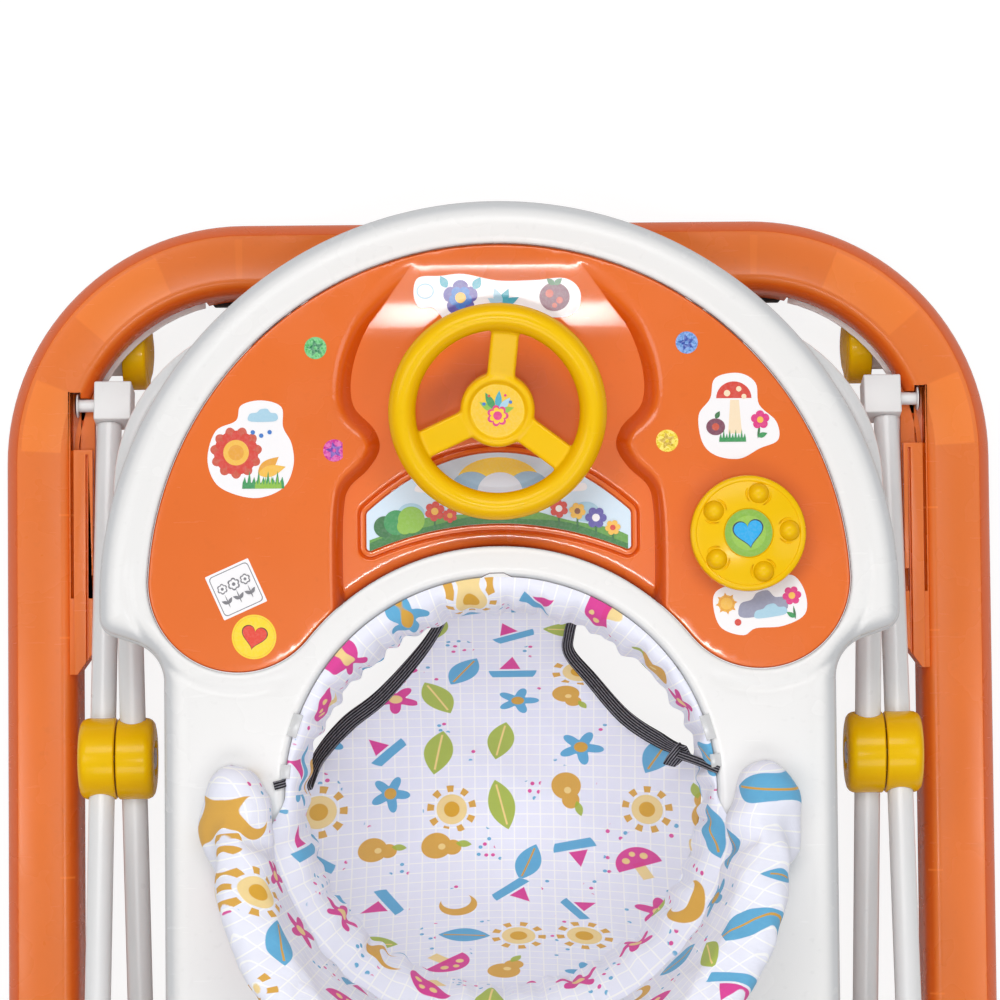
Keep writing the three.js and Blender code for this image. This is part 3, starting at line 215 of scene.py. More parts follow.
def carve(piece, *tools, operation="DIFFERENCE"):
    """Cuts the tools out of the piece, or adds them to it, and throws them away."""
    for tool in tools:
        modify(piece, "BOOLEAN", operation=operation, object=tool, solver="EXACT")
        bpy.data.objects.remove(tool)
    return piece


def joined(name, *pieces):
    only(pieces[0])
    for piece in pieces:
        piece.select_set(True)
    bpy.ops.object.join()
    pieces[0].name = pieces[0].data.name = name
    return pieces[0]


def copied(piece, name, matrix=None, flipped=False):
    """A copy with its own mesh; a mirrored one has its faces turned back outwards."""
    twin = piece.copy()
    twin.data = piece.data.copy()
    twin.name = twin.data.name = name
    bpy.context.collection.objects.link(twin)
    if matrix is not None:
        twin.data.transform(matrix)
    if flipped:
        twin.data.flip_normals()
    return twin


MIRROR_X = Matrix.Scale(-1, 4, (1, 0, 0))


def measured(node, name=None):
    """A copy of a measured solid with its loose triangles merged, ready to be rounded."""
    piece = copied(frame["nodes"][node], name or node + "_fine")
    piece.parent = None
    for key in list(piece.keys()):
        del piece[key]
    edit(piece)
    bpy.ops.mesh.remove_doubles(threshold=2e-6)
    bpy.ops.mesh.dissolve_limited(angle_limit=math.radians(1))
    leave_edit()
    return piece


def place(piece, body, material, *nodes, slot=None):
    """Gives a finished piece its material and its body, and hides the solids it stands for."""
    if material is not None:
        piece.data.materials.clear()
        piece.data.materials.append(material)
    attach(piece, body)
    if nodes:
        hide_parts(*nodes)
    return piece


def softened_solid(node, body, finish, slot, width=0.5, segments=2):
    """The measured solid as it is, with its edges rounded."""
    return place(soften(measured(node), width, segments), body, finish.material, node, slot=slot)


# %% [markdown]
# ## Outlines
#
# Plates, trays and panels are flat shapes with curved edges. Arcs and fillets give their outline
# as points, a circle primitive is given those points, and its face is then extruded, as a hand
# would trace an outline and pull it up.

# %% Arcs and fillets
def arc(x, y, radius, start, end, step=2.0):
    """Points on a circle between two angles, in degrees."""
    count = max(2, math.ceil(abs(end - start) / step))
    turns = [math.radians(start + (end - start) * i / count) for i in range(count + 1)]
    return [(x + radius * math.cos(t), y + radius * math.sin(t)) for t in turns]


def fillet(before, corner, after, radius, steps=12):
    """Points that round the corner between its two neighbours."""
    at = Vector(corner)
    back, ahead = (Vector(before) - at).normalized(), (Vector(after) - at).normalized()
    half = back.angle(ahead) / 2
    centre = at + (back + ahead).normalized() * (radius / math.sin(half))
    first = at + back * (radius / math.tan(half)) - centre
    last = at + ahead * (radius / math.tan(half)) - centre
    turn = math.atan2(first.x * last.y - first.y * last.x, first.dot(last))
    spokes = [Matrix.Rotation(turn * i / steps, 2) @ first for i in range(steps + 1)]
    return [tuple(centre + spoke) for spoke in spokes]


def mirrored(points):
    return [(-x, y) for x, y in reversed(points)]


def plate(name, points, bottom, top):
    """A solid of the outline between two heights."""
    bpy.ops.mesh.primitive_circle_add(vertices=len(points), radius=1, fill_type="NGON")
    piece = named(name)
    for vertex, (x, y) in zip(piece.data.vertices, points):
        vertex.co = Vector((x, y, bottom)) * MM
    edit(piece, "FACE")
    pull(0, 0, top - bottom)
    face_out()
    return piece


def inset_of(points, distance):
    """The outline moved inwards, or outwards where the distance is negative."""
    loop = np.array(points, float)
    ahead = np.roll(loop, -1, 0) - loop
    ahead /= np.maximum(np.hypot(*ahead.T), 1e-9)[:, None]
    back = np.roll(ahead, 1, 0)
    area = 0.5 * np.sum(loop[:, 0] * np.roll(loop[:, 1], -1) - np.roll(loop[:, 0], -1) * loop[:, 1])
    side = 1 if area > 0 else -1
    normal = side * np.stack([-(ahead + back)[:, 1], (ahead + back)[:, 0]], 1)
    normal /= np.maximum(np.hypot(*normal.T), 1e-9)[:, None]
    lean = np.maximum(side * (normal[:, 1] * ahead[:, 0] - normal[:, 0] * ahead[:, 1]), 0.5)
    return [tuple(p) for p in loop + normal * (distance / lean)[:, None]]

# %% [markdown]
# ## Shader maths in plain expressions
#
# A pattern is a formula over a place on the surface. The class below wraps a node's socket, so
# that `1 - mask` or `x * 0.5 + y` add the Math nodes that a hand would wire. Colours go through
# Mix nodes, because a Math node would turn them grey.

# %% A socket that can be calculated with
class Value:
    def __init__(self, finish, socket):
        self.finish, self.socket = finish, socket

    def math(self, operation, other=None):
        operands = {0: self} if other is None else {0: self, 1: other}
        return self.finish.node("ShaderNodeMath", {"operation": operation}, operands)

    def __rsub__(self, other):
        return self.finish.node("ShaderNodeMath", {"operation": "SUBTRACT"}, {0: other, 1: self})

    def step(self, low, high):
        """0 below low, 1 above high, and smooth between; low may be the larger."""
        settings = {"interpolation_type": "SMOOTHSTEP"}
        return self.finish.node("ShaderNodeMapRange", settings, {0: self, 1: low, 2: high})


OPERATIONS = {
    "__add__": "ADD", "__radd__": "ADD", "__sub__": "SUBTRACT", "__mul__": "MULTIPLY",
    "__rmul__": "MULTIPLY", "__truediv__": "DIVIDE", "__pow__": "POWER", "__lt__": "LESS_THAN",
    "__gt__": "GREATER_THAN", "least": "MINIMUM", "most": "MAXIMUM", "size": "ABSOLUTE",
    "sine": "SINE", "cosine": "COSINE", "fraction": "FRACT",
}
for method, operation in OPERATIONS.items():
    setattr(Value, method, lambda self, *other, operation=operation: self.math(operation, *other))


class Finish:
    """A material whose nodes are added one call at a time."""

    def __init__(self, name, constants):
        self.material = bpy.data.materials.new(name)
        self.material.use_nodes = True
        self.tree = self.material.node_tree
        self.shader = self.tree.nodes["Principled BSDF"]
        for socket, value in constants.items():
            self.set(socket, value)

    def set(self, socket, value):
        self.join(self.shader.inputs[socket], value)
        return self

    def join(self, socket, value):
        if isinstance(value, Value):
            self.tree.links.new(value.socket, socket)
        elif isinstance(value, (tuple, list)) and len(value) == 3 and socket.type == "RGBA":
            socket.default_value = (*value, 1)
        else:
            socket.default_value = value

    def node(self, kind, settings=None, inputs=None, output=0):
        """Adds a node: its settings first, then the values or links of its sockets."""
        node = self.tree.nodes.new(kind)
        for key, value in (settings or {}).items():
            setattr(node, key, value)
        for key, value in (inputs or {}).items():
            self.join(node.inputs[key], value)
        return Value(self, node.outputs[output])

    def place(self):
        return self.node("ShaderNodeTexCoord", output="Object")

    def axes(self, vector):
        split = self.tree.nodes.new("ShaderNodeSeparateXYZ")
        self.join(split.inputs[0], vector)
        return [Value(self, output) for output in split.outputs]

    def vector(self, x, y, z=0.0):
        return self.node("ShaderNodeCombineXYZ", inputs={0: x, 1: y, 2: z})

    def noise(self, vector, scale, detail=2.0, roughness=0.5, output="Fac"):
        inputs = {"Vector": vector, "Scale": scale, "Detail": detail, "Roughness": roughness}
        return self.node("ShaderNodeTexNoise", inputs=inputs, output=output)

    def blend(self, amount, low, high, kind="MIX"):
        settings = {"data_type": "RGBA", "blend_type": kind}
        return self.node("ShaderNodeMix", settings, {0: amount, 6: low, 7: high}, output=2)

    def bump(self, height, distance, strength=1.0):
        """The height is in the unit 0 to 1, and the distance is its depth in metres."""
        inputs = {"Height": height, "Distance": distance, "Strength": strength}
        return self.set("Normal", self.node("ShaderNodeBump", inputs=inputs))


def paint(red, green, blue):
    """A screen colour, 0 to 255, as the linear colour that a shader takes."""
    tones = [c / 255 for c in (red, green, blue)]
    return tuple(t / 12.92 if t <= 0.04045 else ((t + 0.055) / 1.055) ** 2.4 for t in tones)


def toned(color, factor):
    return tuple(min(1.0, c * factor) for c in color)


# %% [markdown]
# ## Moulded plastic
#
# Polypropylene is never quite even: the colour drifts a little from flow to flow, the gloss
# shows a faint orange peel, and handling leaves fine scratches and dull spots. All three come
# from noise at three scales. Where the surface turns away from level, a second, darker colour
# is painted in as shade, standing in for the weaker light that steep walls get from the lamps
# above. Every plastic piece shares this one recipe with its own two colours.

# %% One recipe for all moulded plastic
def moulded(name, color, steep_shade, roughness=0.3, coat=0.0, peel=0.00004, drift=0.05,
            gloss=0.36):
    """The peel is the ripple's depth in metres; the drift is how far the colour wanders."""
    made = Finish(name, {"Base Color": color, "Roughness": roughness, "Specular IOR Level": gloss,
                         "Coat Weight": coat, "Coat Roughness": 0.08})
    place_on = made.place()
    flow = made.noise(place_on, 9, detail=3)
    flecks = made.noise(place_on, 160, detail=2)
    level = made.axes(made.node("ShaderNodeNewGeometry", output="Normal"))[2].size()
    shade = made.blend((flow - 0.35) * 1.6, toned(color, 1 - drift), toned(color, 1 + drift))
    # Painted shade: faces that turn away from level take the darker second colour.
    shade = made.blend(level.step(0.995, 0.78), shade, steep_shade)
    made.set("Base Color", made.blend(flecks.step(0.62, 0.75) * 0.35, shade, toned(color, 0.9)))
    x, y, z = made.axes(place_on)
    scuffs = made.noise(made.vector(x * 40, y * 300, z * 60), 1.0, detail=4).step(0.66, 0.74)
    dull = made.noise(place_on, 22, detail=3).step(0.45, 0.7)
    made.set("Roughness", roughness + dull * 0.06 + scuffs * 0.12)
    ripple = made.noise(place_on, 260, detail=1)
    made.bump(ripple * 0.5 + made.noise(place_on, 45, detail=1), peel)
    return made


ORANGE = paint(238, 122, 48)
SHADED_STEEP_ORANGE = paint(224, 94, 14)
PANEL_ORANGE = paint(234, 111, 30)
TRAY_WHITE = paint(237, 236, 235)
PART_WHITE = paint(243, 243, 243)
YELLOW = paint(243, 194, 2)

# The second colour of each plastic is the painted shade on its steep faces.
base_plastic = moulded("base_plastic", ORANGE, SHADED_STEEP_ORANGE, 0.27)
panel_plastic = moulded("panel_plastic", PANEL_ORANGE, paint(214, 84, 8), 0.24, coat=0.5,
                        peel=0.00002)
tray_plastic = moulded("tray_plastic", TRAY_WHITE, paint(208, 209, 211), 0.24, drift=0.012)
white_plastic = moulded("white_plastic", PART_WHITE, paint(232, 232, 233), 0.28, drift=0.015)
yellow_plastic = moulded("yellow_plastic", YELLOW, paint(236, 180, 0), 0.2, coat=0.06,
                         drift=0.03, gloss=0.16)
print("plastics:", [made.material.name for made in
                    (base_plastic, panel_plastic, tray_plastic, white_plastic, yellow_plastic)])

# %% [markdown]
# ## Steel, paint and rubber
#
# The tubes are powder-coated: white, even, with a very fine grain. Pins and bolts are bright
# steel, turned on a lathe, so their scratches run round them. The stoppers are plain rubber.

# %% Metals and rubber
def powder_coat():
    made = Finish("powder_coat", {"Coat Weight": 0.25, "Coat Roughness": 0.15})
    on = made.place()
    grain = made.noise(on, 900, detail=1)
    cloudy = made.noise(on, 14, detail=3)
    made.set("Base Color", made.blend(cloudy, paint(223, 223, 224), paint(234, 234, 234)))
    made.set("Roughness", made.noise(on, 60, detail=2) * 0.12 + 0.24)
    return made.bump(grain, 0.00003)


def bright_steel():
    made = Finish("bright_steel", {"Metallic": 1.0})
    on = made.place()
    x, y, z = made.axes(on)
    turning = made.noise(made.vector(x * 2500, y * 60, z * 60), 1.0, detail=3)
    made.set("Base Color", made.blend(made.noise(on, 30), paint(176, 177, 182),
                                      paint(214, 214, 216)))
    made.set("Roughness", turning * 0.2 + 0.2)
    return made.bump(turning, 0.00002)


def black_rubber():
    made = Finish("black_rubber", {"Specular IOR Level": 0.35})
    on = made.place()
    dust = made.noise(on, 35, detail=4).step(0.5, 0.75)
    made.set("Base Color", made.blend(dust * 0.5, paint(44, 44, 46), paint(92, 90, 88)))
    made.set("Roughness", 0.68 + dust * 0.15)
    return made.bump(made.noise(on, 700, detail=2), 0.00008)


tube_finish = powder_coat()
steel = bright_steel()
rubber = black_rubber()

# %% [markdown]
# ## Base ring
#
# The base is one moulding: a channel, open below, that runs round as a rounded rectangle. Its
# section is drawn once as a loop of points. Extrude carries the loop down each side and Spin
# takes it round each corner, which is how a hand would sweep it, and gives corners far rounder
# than the measured solid's. The arches over the casters are then cut from below.

# %% The ring's section and its sweep
BASE_HALF = (310, 335)
CORNER = 150
SECTION = [  # (inset from the outer edge, height)
    (0.4, 30), (0, 31), (0, 60.5), (0.5, 62.6), (2, 65.4), (6.6, 72.6), (7.8, 73.6), (9.4, 73.5),
    (10.4, 73.3), (32, 73.3), (34.4, 73.7), (36.6, 73.9), (39.4, 73.2), (42, 71.3), (44, 68.6),
    (45, 65), (45, 31), (44.6, 30), (42.4, 30), (42, 31), (42, 65), (40.5, 68.8), (37, 70.8),
    (9, 70.8), (3.4, 62.5), (3, 60), (3, 31), (2.6, 30),
]


SIDE_STEPS, CORNER_STEPS = 10, 30


def swept_ring():
    bpy.ops.mesh.primitive_circle_add(vertices=len(SECTION), radius=1)
    ring = named("base_ring")
    along, across = BASE_HALF[1] - CORNER, BASE_HALF[0] - CORNER
    for vertex, (inset, height) in zip(ring.data.vertices, SECTION):
        vertex.co = Vector((BASE_HALF[0] - inset, -along, height)) * MM
    edit(ring)
    corners = [(across, along), (-across, along), (-across, -along), (across, -along)]
    for side, corner in enumerate(corners):
        turn = math.pi / 2 * side
        length = 2 * (along if side % 2 == 0 else across)
        step = Vector((-math.sin(turn), math.cos(turn), 0)) * length / SIDE_STEPS * MM
        for _ in range(SIDE_STEPS):
            bpy.ops.mesh.extrude_region_move(TRANSFORM_OT_translate={"value": step})
        bpy.ops.mesh.spin(steps=CORNER_STEPS, angle=-math.pi / 2, axis=(0, 0, 1),
                          use_auto_merge=False, center=(corner[0] * MM, corner[1] * MM, 0))
    leave_edit()
    return outward(ring)


CASTERS = {which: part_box("caster_hood_" + which) for which in (
    "front_left", "front_middle", "front_right", "rear_left", "rear_middle", "rear_right")}
TRAIL = 20
ARCH_RADIUS, ARCH_LOW, ARCH_TOP = 63.3, 20, 53
NOTCHES = {  # where the pins' heads and the end blocks run beside the ring's inner wall
    "head_notch": ((262.3, 192.6, 63.4), (268.6, 229.1, 82)),
    "head_run": ((262.3, 99, 59.6), (266.3, 193, 76.4)),
    "pin_notch": ((250, 212, 63.4), (263.5, 225.6, 82)),
    "block_pocket": ((225, 221, 50), (254.3, 234.6, 68)),
}


def stem_of(which):
    """Where the caster's stem stands, in millimetres: its wheels trail towards the middle."""
    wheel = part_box("caster_axle_" + which)
    centre = (wheel[0] + wheel[1]) / 2 / MM
    return centre.x, centre.y + (TRAIL if centre.y > 0 else -TRAIL)


base_ring = swept_ring()
arches = [drum("arch", ARCH_RADIUS, (*stem_of(p), ARCH_LOW), (*stem_of(p), ARCH_TOP), 96)
          for p in CASTERS]
notches = [block(name, (sign * low[0], *low[1:]), (sign * high[0], *high[1:]))
           for sign in (1, -1) for name, (low, high) in NOTCHES.items()]
carve(base_ring, *arches, *notches)
smooth(base_ring, 28)
print("base ring:", len(base_ring.data.polygons), "faces")

# %% [markdown]
# The moulder left shallow facets in the ring's corners and a few faint sink lines across its
# sides. They are not modelled; the finish paints the light they would catch, as lighter bands
# on the facets and along the lines. The angle about the corner's centre picks the facet.

# %% Base plastic with painted facet light in the corners
# Painted light: each facet, and each sink line on the sides, is made lighter as if it caught the lamps.
FACET_LIGHT = ((3, 1.0), (22, -0.7), (41, 0.6), (67, -0.75), (88, 0.5))  # (from this angle, lighter by)
SINK_LINE_LIGHT = (75, 152)  # millimetres ahead of the middle and behind it
TOP_Z = 0.07  # metres; only the ring's top lies higher


def base_finish():
    made = moulded("ring_plastic", ORANGE, SHADED_STEEP_ORANGE, 0.25)
    on = made.place()
    x, y, z = made.axes(on)
    across = x.size() - (BASE_HALF[0] - CORNER) * MM
    ahead = y.size() - (BASE_HALF[1] - CORNER) * MM
    angle = ahead.math("ARCTAN2", across) * (180 / math.pi)
    in_corner = (across > 0) * (ahead > 0)
    facet_light = None
    for start, lift in FACET_LIGHT:
        part = angle.step(start - 0.4, start + 0.4) * lift
        facet_light = part if facet_light is None else facet_light + part
    reach = (across * across + ahead * ahead) ** 0.5 / MM
    on_top = (reach.step(CORNER - 9.5, CORNER - 10.5) * reach.step(CORNER - 35.5, CORNER - 34.5)
              * (z > TOP_Z))
    first, second = ((y.size() / MM - line).size().step(1.2, 0.2) for line in SINK_LINE_LIGHT)
    sink_line_light = first + second
    side_top = ((across / MM).step(91, 92) * (across / MM).step(116.5, 115.5) * (z > TOP_Z)
                * (1 - in_corner))
    # Painted light: the facets and sink lines brighten the orange here.
    light = facet_light * in_corner * on_top * 0.6 + sink_line_light * side_top * 0.55
    before = made.shader.inputs["Base Color"].links[0].from_socket
    brighter = made.blend(light.step(0.0, 1.0), Value(made, before), toned(ORANGE, 1.35))
    made.set("Base Color", brighter)
    return made.material


ring_plastic = base_finish()

# %% [markdown]
# Two height rails stand on the inner sides of the ring. A pin of the frame runs in each one's
# slot, and the slot's front end is open to the top, where the pin's head goes in. A box is
# carved with smaller boxes, then all its edges are rounded, as a moulding tool would leave them.

# %% Height rails and rear bosses
PIN_Z = 68
PIN_Y = 221
RAIL_FACE, RAIL_BACK = 254.3, 268.6
RAIL_FRONT, RAIL_REAR, RAIL_MOUTH = 229.1, 51.7, 192.6
RAIL_LOW, RAIL_TOP = 56.4, 78.4
SLOT_END_Y = 107.7


def height_rail():
    outline = [(RAIL_FACE, RAIL_FRONT), (RAIL_FACE, RAIL_REAR + 14), (RAIL_FACE + 10, RAIL_REAR),
               (RAIL_BACK + 1, RAIL_REAR), (RAIL_BACK + 1, RAIL_FRONT)]
    rail = plate("height_rail", outline, RAIL_LOW, RAIL_TOP)
    slot, room = 4.6, 8.1  # half the height of the pin's slot, and of the room for its head
    carve(rail,
          block("slot", (RAIL_FACE - 1, SLOT_END_Y - slot, PIN_Z - slot),
                (264, PIN_Y + slot, PIN_Z + slot)),
          block("room", (263.3, SLOT_END_Y - room, PIN_Z - room),
                (RAIL_BACK, RAIL_FRONT + 1, PIN_Z + room)),
          block("mouth", (RAIL_FACE - 1, RAIL_MOUTH, PIN_Z - slot), (RAIL_BACK, RAIL_FRONT + 1, 82)),
          block("groove", (257.2, RAIL_REAR + 6, 75.4), (258.7, RAIL_MOUTH - 3, 80)),
          block("window", (RAIL_FACE - 1, SLOT_END_Y - 8, 72), (RAIL_FACE + 2.6, SLOT_END_Y + 6, 80)),
          block("step", (266.4, RAIL_REAR - 1, 74.6), (RAIL_BACK + 2, RAIL_FRONT, 80)))
    return soften(outward(rail), 0.7, 3)


def rear_boss():
    boss = block("rear_boss", (238.7, -PIN_Y - 14, 54), (269, -PIN_Y + 14, 76))
    carve(boss, drum("bore", 4.3, (230, -PIN_Y, PIN_Z), (263, -PIN_Y, PIN_Z), 32))
    return soften(boss, 1.6, 4)


fittings = joined("height_rail_right", height_rail(), rear_boss())
other_fittings = copied(fittings, "height_rail_left", MIRROR_X, flipped=True)
place(base_ring, "base", ring_plastic, "base_shell", slot="base_orange")
for side_piece in (fittings, other_fittings):
    place(side_piece, "base", base_plastic.material, slot="base_orange")

# %% Corner plates, stoppers and rear pins
for side in SIDES:
    softened_solid("corner_plate_" + side, "base", white_plastic, "plate_white")
    softened_solid("stopper_pad_" + side, "base", rubber, "stopper_rubber", 1.5, 4)
    softened_solid("rear_pin_" + side, "base", steel, "pin_steel", 0.6, 3)

# %% [markdown]
# ## Casters
#
# Each caster has two yellow wheels on one axle, either side of a white hood that swivels. A
# wheel is turned: its half section is spun round the axle. It has a domed outer face with a
# shallow ring groove and a flat tread with rounded edges.

# %% Turning a section round an axis
def turned(name, section, centre=(0, 0, 0), axis="Z", around=64):
    """Spins points of (radius, height), in millimetres, round an axis through the centre."""
    bpy.ops.mesh.primitive_circle_add(vertices=len(section), radius=1)
    piece = named(name)
    for vertex, (radius, height) in zip(piece.data.vertices, section):
        vertex.co = Vector((radius, 0, height)) * MM
    open_ends = section[0][0] == 0 and section[-1][0] == 0
    if open_ends:
        edit(piece, "EDGE")
        pick(piece, "EDGE", lambda e: e.verts[0].co.x + e.verts[1].co.x < 1e-9)
        bpy.ops.mesh.delete(type="EDGE")
        leave_edit()
    edit(piece)
    bpy.ops.mesh.spin(steps=around, angle=2 * math.pi, center=(0, 0, 0), axis=(0, 0, 1),
                      use_auto_merge=True)
    leave_edit()
    outward(piece)
    turn = {"Z": Matrix(), "X": turning(90, "Y")}[axis]
    piece.data.transform(Matrix.Translation(Vector(centre) * MM) @ turn)
    return smooth(piece)


WHEEL_SECTION = [
    (0, 14.4), (3.3, 14.4), (3.3, 0), (7, 0), (7.4, 2.2), (19.5, 2.2), (20, 0), (22.6, 0),
    (23.6, 0.5), (24, 1.6), (24, 13.2), (23.7, 14.4), (22.8, 15.2), (20.6, 15.6), (20.1, 15.1),
    (19.4, 15.1), (18.9, 15.9), (14, 17.4), (8, 18.2), (3, 18.5), (0, 18.5),
]
WEB_FACE = 7.8  # a wheel's inner face, from the caster's middle

wheel = turned("wheel", WHEEL_SECTION, axis="X", around=72)
for which in CASTERS:
    low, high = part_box("caster_axle_" + which)
    centre = (low + high) / 2
    for letter in ("a", "b"):
        node = f"caster_wheel_{which}_{letter}"
        low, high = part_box(node)
        right = (low.x + high.x) / 2 > centre.x
        shift = Matrix.Translation(centre + Vector((WEB_FACE if right else -WEB_FACE, 0, 0)) * MM)
        twin = copied(wheel, node + "_fine", shift if right else shift @ MIRROR_X, flipped=not right)
        place(twin, "wheels_" + which, yellow_plastic.material, node, slot="wheel_yellow")
    softened_solid("caster_hood_" + which, "caster_" + which, white_plastic,
                   "hood_white", 1.4, 4)
    axle = frame["nodes"]["caster_axle_" + which]
    axle.data.materials.clear()
    axle.data.materials.append(steel.material)
bpy.data.objects.remove(wheel)

# %% [markdown]
# ## Scissor frame
#
# Each arm is one steel tube bent to a U. Its centre line is two straight legs, two bends and a
# crossbar, all in one plane, so the tube is made in that plane as a pipe bender would: a circle is
# extruded along a leg, spun round a bend, extruded over the crossbar, and so on. The whole tube is
# then tilted about the middle pivot, which carries it to its place.

# %% The bent tubes
SLOPE = 12.75  # degrees above level, folded
PIVOT_Z = 118.01
ARM_LOWER, ARM_UPPER = 226.587, 265.5  # along a leg: pivot to end pin, pivot to crossbar
BEND = 101
TUBE_RADIUS = 7.95
ARMS = {"inner": 225.4, "outer": 244.6}  # how far each leg stands from the middle
BLOCK = 25
LEG_END = 12.8  # the tube starts this far from the end pin, inside the block


def arm_place(arm):
    """From an arm's own plane to the walker; the outer arm is turned to face the rear."""
    tilt = turning(SLOPE, "X")
    turn = Matrix.Rotation(math.pi, 4, "Z") if arm == "outer" else Matrix()
    return Matrix.Translation((0, 0, PIVOT_Z * MM)) @ turn @ tilt


def bent_tube(name, leg, arm):
    start, bend_y = -ARM_LOWER + LEG_END, ARM_UPPER - BEND
    bpy.ops.mesh.primitive_circle_add(vertices=28, radius=TUBE_RADIUS * MM,
                                      rotation=(math.pi / 2, 0, 0),
                                      location=(-leg * MM, start * MM, 0))
    tube = named(name)
    edit(tube)

    def bend(x):
        bpy.ops.mesh.spin(steps=20, angle=math.pi / 2, axis=(0, 0, 1), use_auto_merge=False,
                          center=(x * MM, bend_y * MM, 0))

    pull(0, bend_y - start)
    bend(-leg + BEND)
    pull(2 * (leg - BEND), 0)
    bend(leg - BEND)
    pull(0, start - bend_y)
    close_ends(tube)
    leave_edit()
    tube.data.transform(arm_place(arm))
    return smooth(outward(tube))


for arm, leg in ARMS.items():
    tube = bent_tube("bent_tube_" + arm, leg, arm)
    place(tube, arm + "_arm", tube_finish.material, "frame_tube_" + arm, slot="tube_paint")
    print(tube.name, len(tube.data.polygons), "faces")

# %% [markdown]
# A round housing clamps each leg at the pivot. It is turned like a wheel: a drum with a rounded
# outer edge and a recess for the bolt. The bore for the tube is then drilled across it along the
# arm. Only one is modelled, and its mirror images make the other three.

# %% Pivot housings
SPLIT_X = 235
HOUSING_SECTION = [
    (0, 0), (24.2, 0), (25, 0.8), (25, 16.5), (24.7, 18.6), (23.7, 20.6), (22, 21.9), (19.6, 22.5),
    (13, 22.8), (11.4, 22.6), (10.8, 21.7), (7.6, 21.5), (7.3, 19.5), (0, 19.5),
]
drum_piece = turned("housing", HOUSING_SECTION, axis="X", around=72)
for arm, leg in ARMS.items():
    face = SPLIT_X + (0.5 if arm == "outer" else -0.5)
    at = Matrix.Translation((face * MM, 0, PIVOT_Z * MM))
    shape = copied(drum_piece, "pivot_housing_" + arm, at if arm == "outer" else at @ MIRROR_X,
                   flipped=arm == "inner")
    ahead = arm_place(arm).to_3x3() @ Vector((0, 1, 0))
    centre = Vector((leg, 0, PIVOT_Z))
    carve(shape, drum("bore", TUBE_RADIUS + 0.25, centre - ahead * 32, centre + ahead * 32, 40))
    smooth(soften(shape, 0.5, 2, 40), 35)
    for side, matrix in (("right", None), ("left", MIRROR_X)):
        twin = copied(shape, f"clamp_{arm}_{side}", matrix, flipped=side == "left")
        place(twin, arm + "_arm", yellow_plastic.material, f"pivot_housing_{arm}_{side}",
              slot="housing_yellow")
    bpy.data.objects.remove(shape)
bpy.data.objects.remove(drum_piece)
for side in SIDES:
    softened_solid("pivot_bolt_" + side, "inner_arm", steel, "pin_steel")

# %% [markdown]
# The legs end in white blocks with crisp edges. A front block slides along its rail on a
# white pin with a steel rivet in its head; a rear block turns on a pin that is fixed in the base.

# %% End blocks and sliding pins
def end_block(name, low_x, high_x, arm):
    half = BLOCK / 2
    body = block(name, (low_x, -ARM_LOWER - half, -half), (high_x, -ARM_LOWER + half, half))
    bevel(body, 1.1, 4, 30)
    carve(body, drum("bore", 4.4, (low_x - 1, -ARM_LOWER, 0), (high_x + 1, -ARM_LOWER, 0), 32))
    body.data.transform(arm_place(arm))
    return smooth(outward(body))


HEAD_X, RIVET = 263.9, 0.9  # where the pin's head starts, and the steel rivet from there
PIN_SECTION = [(0, -24), (4, -24), (4, 0), (7.1, 0), (7.5, 0.4), (7.5, 0.9), (6.9, 1.5),
               (5.4, 1.95), (2.8, 2.25), (0, 2.3)]
sliding_pin = turned("sliding_pin", PIN_SECTION, centre=(HEAD_X, PIN_Y, PIN_Z), axis="X", around=40)
for side in SIDES:
    low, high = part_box("rear_block_" + side)
    rear = end_block("rear_end_" + side, low.x / MM, high.x / MM, "inner")
    place(rear, "inner_arm", white_plastic.material, "rear_block_" + side, slot="block_white")
    low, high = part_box("slide_block_" + side)
    front = end_block("slide_end_" + side, -low.x / MM, -high.x / MM, "outer")
    place(front, "outer_arm", white_plastic.material, "slide_block_" + side, slot="block_white")
    pin = copied(sliding_pin, "slide_pin_" + side + "_fine", MIRROR_X if side == "left" else None,
                 flipped=side == "left")
    place(pin, "outer_arm", white_plastic.material, "slide_pin_" + side, slot="pin_steel")
    pin.data.materials.append(steel.material)
    for face in pin.data.polygons:
        if abs(face.center.x) > (HEAD_X + RIVET) * MM:
            face.material_index = 1
bpy.data.objects.remove(sliding_pin)

# %% Tracks and saddles under the tray
for side in SIDES:
    for part in ("tray_track_", "tray_saddle_"):
        softened_solid(part + side, "tray", tray_plastic, "tray_white", 0.8, 3)

# %% [markdown]
# ## Tray and toy panel
#
# Both are large flat mouldings whose character lies in a few millimetres of relief: a crowned
# rim, a sunken dashboard with flowing walls, grooves and pockets. No primitive gives that. Each
# is drawn as flat outlines, filled with a fine net of triangles, and every point of the net is
# lifted to a height that follows from its distance to the outlines.

# %% Distances to an outline
TRAY_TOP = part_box("tray_frame")[1].z / MM
TRAY_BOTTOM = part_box("tray_frame")[0].z / MM
PANEL_TOP = TRAY_TOP - 3.5
HOLE_Y = -20
HOLE_RADIUS = 127.5
PANEL_REAR = 146  # radius of the panel's rear edge about the hole's middle
TUBE_CLEAR = 186  # hidden edges end above this height, because the inner tube slides below


def resampled(loop, spacing):
    """The same closed outline with points no further apart than the spacing."""
    found = []
    for (x0, y0), (x1, y1) in zip(loop, loop[1:] + loop[:1]):
        count = max(1, math.ceil(math.hypot(x1 - x0, y1 - y0) / spacing))
        found += [(x0 + (x1 - x0) * i / count, y0 + (y1 - y0) * i / count) for i in range(count)]
    return found


